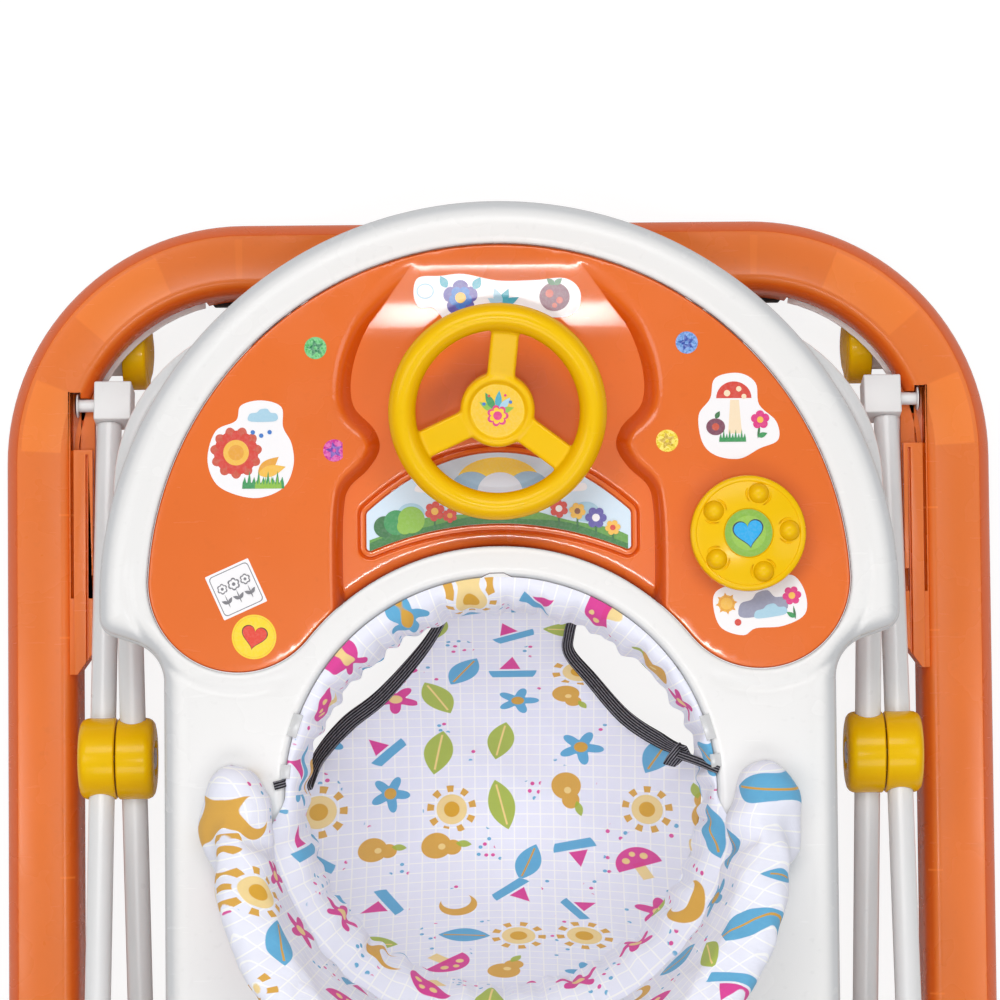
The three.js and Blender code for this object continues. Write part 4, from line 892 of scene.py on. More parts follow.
def curve_through(points, step=8, closed=False):
    """A smooth curve through the points, as a bent ruler would draw it."""
    count = len(points)
    at = [np.array(points[i % count] if closed else points[min(max(i, 0), count - 1)], float)
          for i in range(-1, count + 2)]
    found = []
    for i in range(1, count + (1 if closed else 0)):
        a, b, c, d = at[i - 1:i + 3]
        for k in range(step):
            t = k / step
            found.append(tuple(0.5 * (2 * b + (c - a) * t + (2 * a - 5 * b + 4 * c - d) * t * t
                                      + (3 * b - 3 * c + d - a) * t ** 3)))
    return found if closed else found + [tuple(points[-1])]


def distance_to(points, loop):
    """How far each flat point is from an outline, in millimetres."""
    points, start = np.asarray(points, float), np.array(loop, float)
    along = np.roll(start, -1, 0) - start
    lengths = np.maximum((along ** 2).sum(1), 1e-12)
    found = []
    for part in np.array_split(points, max(1, len(points) // 1500)):
        away = part[:, None] - start
        t = np.clip((away * along).sum(2) / lengths, 0, 1)
        found.append(np.sqrt(((away - t[..., None] * along) ** 2).sum(2).min(1)))
    return np.concatenate(found)


def is_inside(points, loop):
    points, start = np.asarray(points, float), np.array(loop, float)
    end = np.roll(start, -1, 0)
    x, y = points[:, :1], points[:, 1:]
    crosses = (start[:, 1] > y) != (end[:, 1] > y)
    rise = end[:, 1] - start[:, 1]
    run = end[:, 0] - start[:, 0]
    at = start[:, 0] + (y - start[:, 1]) * run / np.where(rise == 0, 1e-12, rise)
    return (crosses & (x < at)).sum(1) % 2 == 1


def depth_in(points, loop):
    """Distance to the outline, positive inside it and negative outside."""
    return np.where(is_inside(points, loop), 1, -1) * distance_to(points, loop)


def eased(value, low, high):
    """0 below low, 1 above high, and smooth between."""
    t = np.clip((value - low) / (high - low), 0, 1)
    return t * t * (3 - 2 * t)


def rounding(depth, width, drop):
    """How far an edge rounded as a quarter of an ellipse lies below the flat, by depth inside it."""
    t = np.clip(1 - depth / width, 0, 1)
    return drop * (1 - np.sqrt(np.clip(1 - t * t, 0, 1)))


# %% A net of triangles over outlines
def net_points(loops, offsets, spacing, within):
    """Rings beside the outlines and an even net between them, kept where within() allows."""
    found = []
    for loop, steps in zip(loops, offsets):
        for step in steps:
            ring = np.array(inset_of(loop, step))
            found.append(ring[distance_to(ring, loop) > abs(step) * 0.93])
    xs = np.arange(-330, 330, spacing)
    ys = np.arange(-330, 340, spacing * 0.87)
    net = np.array([(x + (j % 2) * spacing / 2, y) for j, y in enumerate(ys) for x in xs])
    near = np.min([distance_to(net, loop) for loop in loops], axis=0)
    reach = max(max(abs(s) for s in steps) if len(steps) else 1 for steps in offsets)
    found.append(net[near > min(reach, spacing) * 0.6])
    points = np.concatenate(found)
    return points[within(points)]


def relief(name, loops, free, kept, height, skirts):
    """The net over outlines and free points, where kept() allows, lifted to its height.

    A skirt carries the edge of one outline down through further rings.
    """
    flat, edges = [], []
    for loop in loops:
        first = len(flat)
        flat += list(loop)
        edges += [(first + i, first + (i + 1) % len(loop)) for i in range(len(loop))]
    flat += [tuple(p) for p in free]
    points, _, faces, *_ = delaunay_2d_cdt([Vector(p) for p in flat], edges, [], 0, 1e-4)
    points = np.array([tuple(p) for p in points])
    wanted = kept(np.array([points[list(face)].mean(0) for face in faces]))
    faces = [tuple(face) for face, keep in zip(faces, wanted) if keep]
    vertices = np.column_stack([points, height(points)])
    first = 0
    for loop, rings in zip(loops, skirts):
        above = list(range(first, first + len(loop)))
        for ring in rings:
            below = list(range(len(vertices), len(vertices) + len(loop)))
            vertices = np.vstack([vertices, np.array(ring)])
            faces += [(above[i], above[i - 1], below[i - 1], below[i]) for i in range(len(loop))]
            above = below
        first += len(loop)
    piece = net_piece(name, vertices * MM, faces)
    edit(piece)
    bpy.ops.mesh.delete_loose()
    face_out()
    top = max(piece.data.polygons, key=lambda face: face.center.z * (abs(face.normal.z) > 0.9))
    if top.normal.z < 0:
        piece.data.flip_normals()
    print(name, len(piece.data.polygons), "faces")
    return piece


def ring_at(loop, inset, z):
    """The outline, moved inwards, at one height."""
    return [(x, y, z) for x, y in (inset_of(loop, inset) if inset else loop)]


# %% Outlines of tray, panel and dashboard
SIDE_X, EAR_Y, REAR_Y = 200.5, 64, -284
FRONT_RADIUS, FRONT_Y = 239, 94.5
rear_corner, ear_root, ear_tip = (SIDE_X, REAR_Y), (SIDE_X, EAR_Y), (FRONT_RADIUS, EAR_Y + 13)
right_side = (fillet((0, REAR_Y), rear_corner, ear_root, 50, 24)
              + fillet(rear_corner, ear_root, ear_tip, 24, 14)
              + fillet(ear_root, ear_tip, (FRONT_RADIUS, FRONT_Y), 12, 14))
TRAY_OUTLINE = resampled(right_side + arc(0, FRONT_Y, FRONT_RADIUS, 0.2, 179.8, 0.8)
                         + mirrored(right_side), 4)
lobe = arc(154.98, 105.31, 53.3, -141.04, 3.07, 2.5)
PANEL_OUTLINE = resampled(lobe[1:-1] + arc(0, 97, 208.5, 3.07, 176.93, 0.8) + mirrored(lobe)[1:-1]
                          + arc(0, HOLE_Y, PANEL_REAR, 141.04, 38.96, 1.2), 3)
DASH_SIDE = [(92, 60), (93, 120), (92, 150), (88.5, 162), (77.5, 172.5), (70.6, 184.5), (73.8, 196.4),
             (86, 210.5), (86.6, 231), (78.6, 254.5), (64, 275), (50, 294.5), (44, 303)]
DASH_OUTLINE = curve_through(DASH_SIDE, 8) + mirrored(curve_through(DASH_SIDE, 8))
hole = arc(0, HOLE_Y, HOLE_RADIUS, 0, 358.75, 1.25)
notch = [1.2 * (1 - min(1.0, max(0.0, (abs(x + 1.5) - 6) / 2))) if y > 0 else 0 for x, y in hole]
HOLE_OUTLINE = [(x, y + 2 * deep) for (x, y), deep in zip(hole, notch)]


def bow(middle, rise, start, end, steps=28):
    """A curve whose middle is at the height y and whose ends lie behind it by the rise."""
    return [(start + (end - start) * i / steps, middle - rise * (2 * i / steps - 1) ** 2)
            for i in range(steps + 1)]


def rounded(points, radius, steps=6):
    """A closed outline of few points with every corner rounded."""
    count = len(points)
    found = []
    for i in range(count):
        found += fillet(points[i - 1], points[i], points[(i + 1) % count], radius, steps)
    return found


WINDOW_REACH, WINDOW_RISE = 79, 16.8
rear_edge = bow(139.2, WINDOW_RISE, -WINDOW_REACH, WINDOW_REACH)
front_edge = bow(182, 35.5, WINDOW_REACH, -WINDOW_REACH)
WINDOW_OUTLINE = (rear_edge[1:-1] + fillet(rear_edge[-2], rear_edge[-1], front_edge[0], 2.4)
                  + fillet(rear_edge[-1], front_edge[0], front_edge[1], 4) + front_edge[1:-1]
                  + fillet(front_edge[-2], front_edge[-1], rear_edge[0], 4)
                  + fillet(front_edge[-1], rear_edge[0], rear_edge[1], 2.4))
FRAME_GAP = 4.2  # the groove runs this far outside the window
FRAME_OUTLINE = inset_of(WINDOW_OUTLINE, -FRAME_GAP)

# %% [markdown]
# The panel's heights: flat lobes, and a dashboard that sinks gently towards the child between
# walls that flow down like fabric. The walls are rounded at the top and meet the floor in a
# crease. A groove frames the picture window, and the rear edge rolls over.

# %% Heights of the toy panel
FLOOR_AT = [100, 205, 250, 253, 256, 261, 266, 271, 274, 294, 296, 298]
FLOOR_DEPTH = [11.4, 8.6, 7.0, 6.78, 6.42, 5.78, 5.1, 4.38, 3.9, 0.36, 0.1, 0]


def dash_floor(y):
    """How deep the dashboard's floor lies; its front end curves up to the rim."""
    return np.interp(y, FLOOR_AT, FLOOR_DEPTH)


def panel_height(points):
    points = np.asarray(points, float)
    x, y = points[:, 0], points[:, 1]
    inside = depth_in(points, DASH_OUTLINE)
    width = 7.5 + 5 * eased(y, 165, 205)
    fall = np.where(inside > 0, 1, np.clip(1 + inside / width, 0, 1) ** 2)
    z = PANEL_TOP - dash_floor(y) * fall
    frame = depth_in(points, WINDOW_OUTLINE)
    z -= 1.0 * np.exp(-((frame + FRAME_GAP) / 0.8) ** 2)  # the groove
    z += 0.8 * eased(-frame, 0.1, 0.9) * eased(frame, -3.9, -3.1) * (frame < 0)  # the raised frame
    z -= 0.7 * (frame >= 0)  # the window's bed
    reach = np.hypot(x, y - HOLE_Y) - PANEL_REAR
    behind = (inside > 0) * (y < 170)
    z -= behind * rounding(reach, 7, 3.2)
    return z - rounding(depth_in(points, PANEL_OUTLINE), 1.4, 1.2)


def build_panel():
    window, frame_line = resampled(WINDOW_OUTLINE, 1.5), resampled(FRAME_OUTLINE, 1.5)
    loops = [PANEL_OUTLINE, resampled(DASH_OUTLINE, 3), window, frame_line]
    offsets = [(0.12, 0.4, 0.8, 1.5), (-13, -11, -9, -7, -5.2, -3.6, -2.2, -1, -0.3, 0.6),
               (-0.9, -0.5, -0.15, 0.12), (-4.4, -3.3, -2.4, -1.6, -1.0, -0.5, 0.5, 1.0, 1.6)]

    def within(points):
        return depth_in(points, PANEL_OUTLINE) > 0.1

    free = net_points(loops, offsets, 5, within)
    roll = [np.array(arc(0, HOLE_Y, PANEL_REAR + step, 50, 130, 1.2))
            for step in (1, 2, 3.2, 4.6, 6.2, 8)]
    free = np.concatenate([free] + roll)
    edge = np.array(PANEL_OUTLINE)
    low = np.maximum(panel_height(edge) - 2.4, TUBE_CLEAR)
    skirt = [[(x, y, z) for (x, y), z in zip(edge, low)]]
    inner = [p for p in loops[1] if within(np.array([p]))[0]]
    outlines = [PANEL_OUTLINE, window, frame_line]
    shape = relief("toy_panel_relief", outlines, np.concatenate([free, inner]),
                   lambda centres: is_inside(centres, PANEL_OUTLINE), panel_height, [skirt, [], []])
    modify(shape, "SOLIDIFY", thickness=2.2 * MM, offset=-1)
    return smooth(shape, 40)


place(build_panel(), "tray", panel_plastic.material, "toy_panel", slot="panel_orange")

# %% [markdown]
# The tray's heights: a rim that rounds over to its outer wall, softer than a circle; a small
# lip at the seat hole; a shallow groove behind the panel. Below the wall runs a thin flange.

# %% Heights of the tray
POCKET = inset_of(PANEL_OUTLINE, -0.5)
WALL_INSET = 1.7


def tray_height(points):
    points = np.asarray(points, float)
    x, y = points[:, 0], points[:, 1]
    z = TRAY_TOP - rounding(depth_in(points, TRAY_OUTLINE) - WALL_INSET, 15, 9.5)
    pocket = -depth_in(points, PANEL_OUTLINE) - 0.5
    z -= rounding(pocket, 5, 1.6)
    z -= rounding(np.hypot(x, y - HOLE_Y) - HOLE_RADIUS, 4.5, 3.5)
    beside = eased(np.abs(x), 120, 140) * eased(y, 130, 100)
    return z - 0.9 * beside * np.exp(-((pocket - 11) / 2.2) ** 2)


def build_tray():
    wall = inset_of(TRAY_OUTLINE, WALL_INSET)
    loops = [wall, POCKET, HOLE_OUTLINE]
    offsets = [(0.1, 0.35, 0.8, 1.5, 2.5, 4, 6, 8.5, 12, 16, 21),
               (-0.2, -0.6, -1.2, -2.2, -3.6, -5.2, -7, -8.5, -10, -11.5, -13, -15, -18),
               (-0.15, -0.5, -1.1, -2, -3.2, -4.6, -6.5)]

    def within(points):
        return ((depth_in(points, wall) > 0.08) & (depth_in(points, POCKET) < -0.1)
                & (depth_in(points, HOLE_OUTLINE) < -0.1))

    free = net_points(loops, offsets, 7, within)
    bottom = TRAY_BOTTOM
    outer = [ring_at(TRAY_OUTLINE, WALL_INSET, bottom + 4.2), ring_at(TRAY_OUTLINE, 0.5, bottom + 3),
             ring_at(TRAY_OUTLINE, 0, bottom + 2.4), ring_at(TRAY_OUTLINE, 0, bottom)]
    pocket = np.array(POCKET)
    low = np.maximum(panel_height(np.array(PANEL_OUTLINE)) - 2.6, TUBE_CLEAR)
    low = np.minimum(low, PANEL_TOP - 3)
    pocket_wall = [[(x, y, z) for (x, y), z in zip(pocket, low)]]
    hole_wall = [ring_at(HOLE_OUTLINE, 0, bottom + 1)]
    shape = relief("tray_moulding", loops, free, within, tray_height,
                   [outer, pocket_wall, hole_wall])
    modify(shape, "SOLIDIFY", thickness=2.4 * MM, offset=-1)
    return smooth(shape, 40)


place(build_tray(), "tray", tray_plastic.material, "tray_frame", slot="tray_white")

# %% [markdown]
# ## Steering wheel
#
# The wheel is one moulding: a fat ring, three flat spokes that dish down, and a round hub. Each
# part is a primitive shaped a little, and a voxel remesh melts them into one skin, which leaves
# the small fillets where they meet, as the mould does. It is built flat and then tilted.

# %% The wheel, its hub and its column
WHEEL_TILT = 12
WHEEL_AT = (Matrix.Translation(Vector((0, 203, TRAY_TOP + 31)) * MM)
            @ turning(WHEEL_TILT, "X"))
SPOKES = (84, 204, 324)


def spoke(turn):
    """A flat bar from the hub out into the ring, wider at the hub."""
    bar = block("spoke", (12, -8.25, -4), (51, 8.25, 4))
    edit(bar)
    bpy.ops.mesh.bisect(plane_co=(22 * MM, 0, 0), plane_no=(1, 0, 0))
    bpy.ops.mesh.select_all(action="SELECT")
    bpy.ops.mesh.bisect(plane_co=(44 * MM, 0, 0), plane_no=(1, 0, 0))
    pick(bar, "VERT", lambda v: v.co.x < 0.02)
    bpy.ops.transform.resize(value=(1, 1.35, 1), center_override=(0, 0, 0))
    leave_edit()
    bevel(bar, 1.1, 3, 40)
    bar.data.transform(turning(turn, "Z") @ Matrix.Translation((0, 0, -12.2 * MM))
                       @ turning(-11, "Y"))
    return bar


CAP_Z = -5.4  # the hub's flat top, from the ring's middle
HUB_SECTION = [(0, -16.5), (19.5, -16.5), (21.4, -15.6), (22, -13.8), (22, -6.6), (21.4, -4.6),
               (20, -3.6), (18.4, -3.5), (17.2, -4.1), (16.4, CAP_Z), (0, CAP_Z)]
bpy.ops.mesh.primitive_torus_add(major_radius=56 * MM, minor_radius=8.1 * MM,
                                 major_segments=120, minor_segments=32)
ring = named("wheel_ring")
steering = joined("steering_wheel_skin", ring, turned("hub", HUB_SECTION),
                  *[spoke(t) for t in SPOKES])
modify(steering, "REMESH", mode="VOXEL", voxel_size=0.85 * MM, use_smooth_shade=True)
modify(steering, "SMOOTH", factor=0.5, iterations=5)
steering.data.transform(WHEEL_AT)
place(steering, "steering", yellow_plastic.material, "steering_wheel", slot="toy_yellow")
softened_solid("steering_column", "tray", panel_plastic, "panel_orange", 1.5, 4)
print("steering wheel:", len(steering.data.polygons), "faces")

# %% [markdown]
# ## Spinning rattle
#
# A round button, slightly crowned, with five domes in shallow rings. The button is turned, the
# rings are carved with thin tori, and the domes are added.

# %% The rattle disc
RATTLE = Vector((147, 131.4, TRAY_TOP + 5.6))
RATTLE_CROWN = 9.6
RATTLE_SECTION = [(0, 0), (31, 0), (33.2, 0.6), (34.2, 2.2), (34.2, 5.8), (33.7, 7.2), (32.4, 8),
                  (31, 8.1), (30.3, 7.7), (29.4, 7.9), (24, 8.9), (18, 9.7), (14.8, 10),
                  (14.2, 9.4), (0, RATTLE_CROWN)]
DOMES, DOME_REACH = 5, 24
rattle = turned("rattle_button", RATTLE_SECTION, around=120)
for i in range(DOMES):
    turn = math.radians(3 + 360 / DOMES * i)
    x, y = DOME_REACH * math.cos(turn) * MM, DOME_REACH * math.sin(turn) * MM
    bpy.ops.mesh.primitive_torus_add(major_radius=7.2 * MM, minor_radius=0.7 * MM, major_segments=56,
                                     minor_segments=10, location=(x, y, 8.95 * MM))
    carve(rattle, named("dome_ring"))
    bpy.ops.mesh.primitive_uv_sphere_add(segments=40, ring_count=20, radius=6.4 * MM,
                                         location=(x, y, 7.2 * MM), scale=(1, 1, 0.95))
    carve(rattle, named("dome"), operation="UNION")
rattle.data.transform(Matrix.Translation(RATTLE * MM))
place(smooth(rattle, 32), "rattle", yellow_plastic.material, "rattle_disc", slot="toy_yellow")
softened_solid("rattle_post", "tray", yellow_plastic, "toy_yellow", 0.8, 3)

# %% [markdown]
# ## Printed labels
#
# The labels are thin films with printed pictures: flowers, fruit, clouds, stars and hearts on
# white paper. A print is a stack of flat inks. So each label is drawn as flat shapes, one above
# the other by a few hundredths of a millimetre, and every shape carries its ink as a colour
# attribute, which one film material shows.

# %% Drawing with flat inks
INK_STEP = 0.03


def turned_about(points, angle, x=0.0, y=0.0):
    """The outline turned about its own middle, then moved."""
    c, s = math.cos(math.radians(angle)), math.sin(math.radians(angle))
    return [(x + px * c - py * s, y + px * s + py * c) for px, py in points]


def oval(x, y, rx, ry=None, turn=0, steps=36):
    ry = ry or rx
    ring = [(rx * math.cos(2 * math.pi * i / steps), ry * math.sin(2 * math.pi * i / steps))
            for i in range(steps)]
    return turned_about(ring, turn, x, y)


def star(x, y, radius, points=5, depth=0.45, turn=90):
    ring = []
    for i in range(2 * points):
        reach = radius if i % 2 == 0 else radius * depth
        angle = math.radians(turn + 180 * i / points)
        ring.append((x + reach * math.cos(angle), y + reach * math.sin(angle)))
    return ring


def heart(x, y, size, turn=0):
    ring = []
    for i in range(60):
        t = 2 * math.pi * i / 60
        ring.append((size * 0.98 * math.sin(t) ** 3,
                     size * (0.8125 * math.cos(t) - 0.3125 * math.cos(2 * t) - 0.125 * math.cos(3 * t)
                             - 0.0625 * math.cos(4 * t)) + size * 0.1))
    return turned_about(ring, turn, x, y)


def leaf(x, y, length, width, turn):
    ring = [(length * t, width * math.sin(math.pi * t ** 0.8)) for t in np.linspace(0, 1, 12)]
    ring += [(length * t, -width * math.sin(math.pi * t ** 0.8)) for t in np.linspace(1, 0, 12)[1:-1]]
    return turned_about(ring, turn, x, y)


def flower(x, y, radius, petals=6, turn=0):
    """One outline with round petals."""
    ring = []
    for i in range(petals * 10):
        angle = 2 * math.pi * i / (petals * 10)
        reach = radius * (0.74 + 0.26 * abs(math.cos(petals * angle / 2)) ** 0.7)
        ring.append((reach * math.cos(angle), reach * math.sin(angle)))
    return turned_about(ring, turn, x, y)


def cloud(x, y, width, height):
    puffs = [(-0.5, 0.0), (-0.42, 0.34), (-0.2, 0.42), (-0.08, 0.62), (0.14, 0.66), (0.26, 0.4),
             (0.44, 0.34), (0.5, 0.04), (0.4, -0.16), (0.1, -0.2), (-0.2, -0.2), (-0.42, -0.16)]
    return curve_through([(x + width * a, y + height * b) for a, b in puffs], 5, closed=True)


def printed(name, shapes, surface, body, film, lift=0.12, matrix=None, slot="panel_orange"):
    """Stacks the shapes (outline, ink) on a surface; surface(x, y) is its height."""
    vertices, faces, inks = [], [], []
    for layer, (outline, ink) in enumerate(shapes):
        first = len(vertices)
        area = sum(a[0] * b[1] - b[0] * a[1] for a, b in zip(outline, outline[1:] + outline[:1]))
        ordered = outline if area > 0 else outline[::-1]
        heights = surface(np.array(ordered))
        vertices += [(x * MM, y * MM, (z + lift + layer * INK_STEP) * MM)
                     for (x, y), z in zip(ordered, heights)]
        faces.append(tuple(range(first, len(vertices))))
        inks.append(ink)
    first, base = len(vertices), len(shapes[0][0])
    vertices += [(x, y, z - (lift + 0.05) * MM) for x, y, z in vertices[:base]]
    faces += [((i + 1) % base, i, first + i, first + (i + 1) % base) for i in range(base)]
    inks += [shapes[0][1]] * base
    piece = net_piece(name, vertices, faces)
    layer = piece.data.color_attributes.new("ink", "FLOAT_COLOR", "CORNER")
    for face, ink in zip(piece.data.polygons, inks):
        for corner in face.loop_indices:
            layer.data[corner].color = (*ink, 1)
    if matrix is not None:
        piece.data.transform(matrix)
    return place(piece, body, film, slot=slot)


# %% Film and foil
def printed_film(name, foil=False):
    made = Finish(name, {"Roughness": 0.3, "Coat Weight": 0.25, "Coat Roughness": 0.12})
    on = made.place()
    ink = made.node("ShaderNodeVertexColor", {"layer_name": "ink"})
    if foil:
        cells = made.node("ShaderNodeTexVoronoi", inputs={"Vector": on, "Scale": 900}, output="Color")
        sparkle = made.axes(cells)[0]
        made.set("Base Color", made.blend(sparkle, made.blend(0.08, ink, (0, 0, 0, 1)),
                                          made.blend(0.16, ink, (1, 1, 1, 1))))
        made.set("Metallic", 0.2)
        made.set("Roughness", 0.2 + sparkle * 0.2)
        return made.material
    mottle = made.noise(on, 700, detail=2).step(0.35, 0.75) * 0.1
    made.set("Base Color", made.blend(mottle, ink, made.blend(0.5, ink, (1, 1, 1, 1))))
    made.set("Roughness", 0.24 + made.noise(on, 40) * 0.14)
    made.bump(made.noise(on, 60, detail=2), 0.00006)
    return made.material


film = printed_film("printed_film")
foil = printed_film("glitter_foil", foil=True)
INK = {}
for row in """
    white 246 244 246; red 214 60 44; brick 206 84 60; gold 232 163 48; amber 243 190 70;
    green 52 150 84; lime 140 190 62; teal 60 168 190; sky 168 208 228; blue 52 118 200;
    violet 92 84 168; pink 222 42 128; plum 124 66 88; grey 150 152 176; cream 246 224 190;
    leaf 44 112 58; dark 24 48 84; brown 140 84 52; lemon 250 211 2; honey 232 190 20;
    yolk 252 214 4; maroon 70 24 22; scarlet 228 58 34; corn 247 205 12; maize 242 196 4;
    moss 132 182 56; apple 150 196 70; azure 10 170 234; sun 255 216 16; mist 156 194 222;
    haze 224 234 247; line 120 118 124""".split(";"):
    ink, *tones = row.split()
    INK[ink] = paint(*map(int, tones))


def on_panel(points):
    """The flat lobes, and the dashboard's floor between them."""
    return np.where(np.abs(points[:, 0]) < 92, PANEL_TOP - dash_floor(points[:, 1]), PANEL_TOP)


def on_slope(points):
    """A flat label spans the curve at the dashboard's front end."""
    return PANEL_TOP - np.interp(points[:, 1], [255, 291], [6.5, 1.0]) + 0.1


def moved_to(shapes, x, y, turn=0):
    return [(turned_about(outline, turn, x, y), ink) for outline, ink in shapes]


def grass(x, y, width, height, blades=9):
    ring = [(x - width / 2, y - height * 0.5)]
    for i in range(blades):
        left = x - width / 2 + width * i / blades
        tip = y + height * (0.5 + 0.5 * (i % 2))
        ring += [(left + width * 0.1 / blades, y), (left + width * 0.6 / blades, tip),
                 (left + width * 0.9 / blades, y)]
    return ring + [(x + width / 2, y - height * 0.5)]


def square(half, radius):
    return rounded([(-half, -half), (half, -half), (half, half), (-half, half)], radius)


def corners(*numbers):
    return list(zip(numbers[::2], numbers[1::2]))


SHAPES = {
    "oval": oval, "star": star, "heart": heart, "leaf": leaf, "flower": flower, "cloud": cloud,
    "grass": grass, "square": square, "corners": corners,
    "paper": lambda *numbers: curve_through(corners(*numbers), 6, closed=True),
    "round": lambda radius, steps=64: oval(0, 0, radius, steps=steps),
    "dome": lambda x, y, rx, ry, low: [p for p in oval(x, y, rx, ry) if p[1] > low],
}


def drawn(rows):
    """Reads rows such as "red oval -14 -8 2": an ink, a shape and the shape's numbers."""
    found = []
    for row in rows.split(";"):
        ink, shape, *words = row.split()
        numbers = [float(word) if "." in word else int(word) for word in words]
        found.append((SHAPES[shape](*numbers), INK[ink]))
    return found


# %% The labels on the lobes and in front of the wheel
LABELS = {  # name: (x, y, turn, shapes from the bottom up)
    "label_left": (-146.5, 183.5, 0, """
    white paper -26 -4 -21 12 -9 18 -6 27 6 30 18 26 19 14 24 4 25 -9 19 -22 4 -28 -12 -25 -22 -18;
    brick flower -9 -1 15.5 11 8; red flower -9 -1 13.2 11 24; amber oval -9 -1 7.6;
    gold oval -9 -1 4.6; gold leaf 4 -14 16 3.6 40; amber leaf 4 -14 17 3.4 15;
    green grass 7 -19 25 7; lime grass 10 -20 16 5; sky cloud 7 19 18 9;
    blue oval 1 11 1.3; blue oval 6 9 1.3; blue oval 11 11 1.3"""),
    "label_right": (141.4, 200.3, 0, """
    white paper -20 -14 -22 2 -15 12 -12 24 2 27 12 21 14 8 24 -2 25 -13 14 -18 2 -24 -12 -22;
    cream corners -3.2 11 -4.6 -9 3.6 -9 2 11; red dome -1 12 10.5 10 10.5;
    cream oval -5 15 1.9; cream oval 2 17.5 1.6; cream oval 5 13 1.5; plum oval -12 -5 5.6 5;
    brick oval -12 -5 2.2; leaf leaf -12 0 5 1.4 60; green grass -2 -11.5 16 5;
    leaf leaf 13 -12 9 0.7 82; pink flower 14.5 -1 5.6 5 20; amber oval 14.5 -1 1.9;
    green leaf 13 -11 6 1.5 20"""),
    "label_top": (0.5, 272, 0, """
    white paper -50 5 -47 14 -34 15 -20 16 0 12 22 12 40 13 49 6 48 -5 38 -10 20 -9 0 -10
    -16 -14 -30 -12 -38 -4 -47 -3; sky oval -43 6 5.2 4.6; white oval -43 6 4.4 3.8;
    violet flower -22 2 10.5 5 18; blue flower -22 2 7 5 54; amber oval -22 2 3.2;
    teal leaf -14 7 8 2.6 60; teal leaf -30 8 8 2.4 120; teal leaf 2 -3 11 2.6 65;
    sky leaf 2 -3 11 2.6 110; teal leaf 2 -3 12 2.2 25; sky leaf 2 -3 9 2 150;
    gold oval 2 -3 2; plum oval 34 2 9 8.4; brick oval 31 4 2.4; brick oval 37 0 2;
    brick oval 34 -3 1.5; leaf leaf 34 9 6 1.7 40; leaf leaf 34 9 6 1.7 140"""),
    "label_low": (154, 89, 8, """
    white paper -27 2 -24 12 -10 15 8 14 22 15 28 4 26 -9 12 -14 -4 -13 -12 -16 -24 -10;
    grey cloud 2 -3 30 17; sky cloud 6 -6 20 9; amber oval -19 4 5; gold star -19 4 6.6 8 0.6;
    amber oval -19 4 3.6; pink flower 20 3 5.6 6; amber oval 20 3 2; leaf leaf 20 -11 8 0.7 90;
    green leaf 20 -10 6 1.4 140; red oval -14 -8 2"""),
    "label_plain": (-156, 101.4, 24, "white square 14 0.6; line square 12.6 2.4; white square 12.1 2.2"),
    "label_heart": (-145.5, 73.1, -12, """
    lemon round 13.2; honey round 12.2; yolk round 11.9; maroon heart 0 -0.3 8;
    scarlet heart 0 -0.3 7.4"""),
}


def line_flowers():
    """The plain label's row of three flowers, drawn with lines."""
    found = []
    for x, radius in ((-7.4, 3.2), (0, 3.8), (7.4, 3.2)):
        found += [(flower(x, 3.4, radius, 6, 15), INK["line"]),
                  (flower(x, 3.4, radius * 0.74, 6, 15), INK["white"]),
                  (oval(x, 3.4, radius * 0.28), INK["line"])]
        found += [(leaf(x, *numbers), INK["line"])
                  for numbers in ((-8.6, 8.4, 0.35, 90), (-6, 4.4, 1.0, 40), (-6, 4.4, 1.0, 140))]
    return found


for name, (x, y, turn, rows) in LABELS.items():
    shapes = drawn(rows) + (line_flowers() if name == "label_plain" else [])
    surface = on_slope if name == "label_top" else on_panel
    printed(name, moved_to(shapes, x, y, turn), surface, "tray", film)
DISCS = {
    "disc_green": ((paint(92, 196, 112), paint(34, 138, 84)), -108.0, 244.4),
    "disc_magenta": ((paint(214, 24, 160), paint(112, 40, 176)), -97.2, 183.3),
    "disc_blue": ((paint(104, 156, 226), paint(36, 78, 178)), 112.8, 245.7),
    "disc_yellow": ((paint(250, 222, 40), paint(214, 176, 20)), 100.5, 187.3),
}
for name, ((edge, middle), x, y) in DISCS.items():
    shapes = [(oval(0, 0, 6.6, steps=48), edge), (star(0, 0, 5.4), middle), (oval(0, 0, 1.1), edge)]
    printed(name, moved_to(shapes, x, y, 12), on_panel, "tray", foil)

# %% The hub's label and the rattle's label
hub_print = drawn("""
    corn round 15.6; maize round 14.9; lime leaf -2 0 10 2 150; green leaf -2 1 11 2.2 118;
    teal leaf 0 1 11 2 84; sky leaf 1 0 10 2 50; lime leaf 1 -1 9 1.8 18; pink flower 0 -3 6.4 7;
    corn flower 0 -3 4.9 7; pink oval 0 -3 2.6; blue oval -8 4 1; blue oval 7.6 5 1;
    pink oval 4.6 9 0.8; red oval -5 8.8 0.8""")
cap = printed("hub_label", hub_print, lambda p: np.full(len(p), CAP_Z), "steering", film, 0.25,
              WHEEL_AT, slot="toy_yellow")
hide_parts("steering_hub_cap")
rattle_print = drawn("moss round 14; apple round 10.2; dark heart 0 -0.4 9.4; azure heart 0 -0.4 8.6")
printed("rattle_label", moved_to(rattle_print, RATTLE.x, RATTLE.y, 8),
        lambda p: np.full(len(p), RATTLE.z + RATTLE_CROWN), "rattle", film, 0.15, slot="toy_yellow")

# %% [markdown]
# The picture in the dashboard is a printed plate under a clear film: sky, clouds, a low sun, two
# green hills, round bushes and a row of flowers.

# %% The window picture
def rear_line(x):
    return 139.5 - WINDOW_RISE * (x / WINDOW_REACH) ** 2


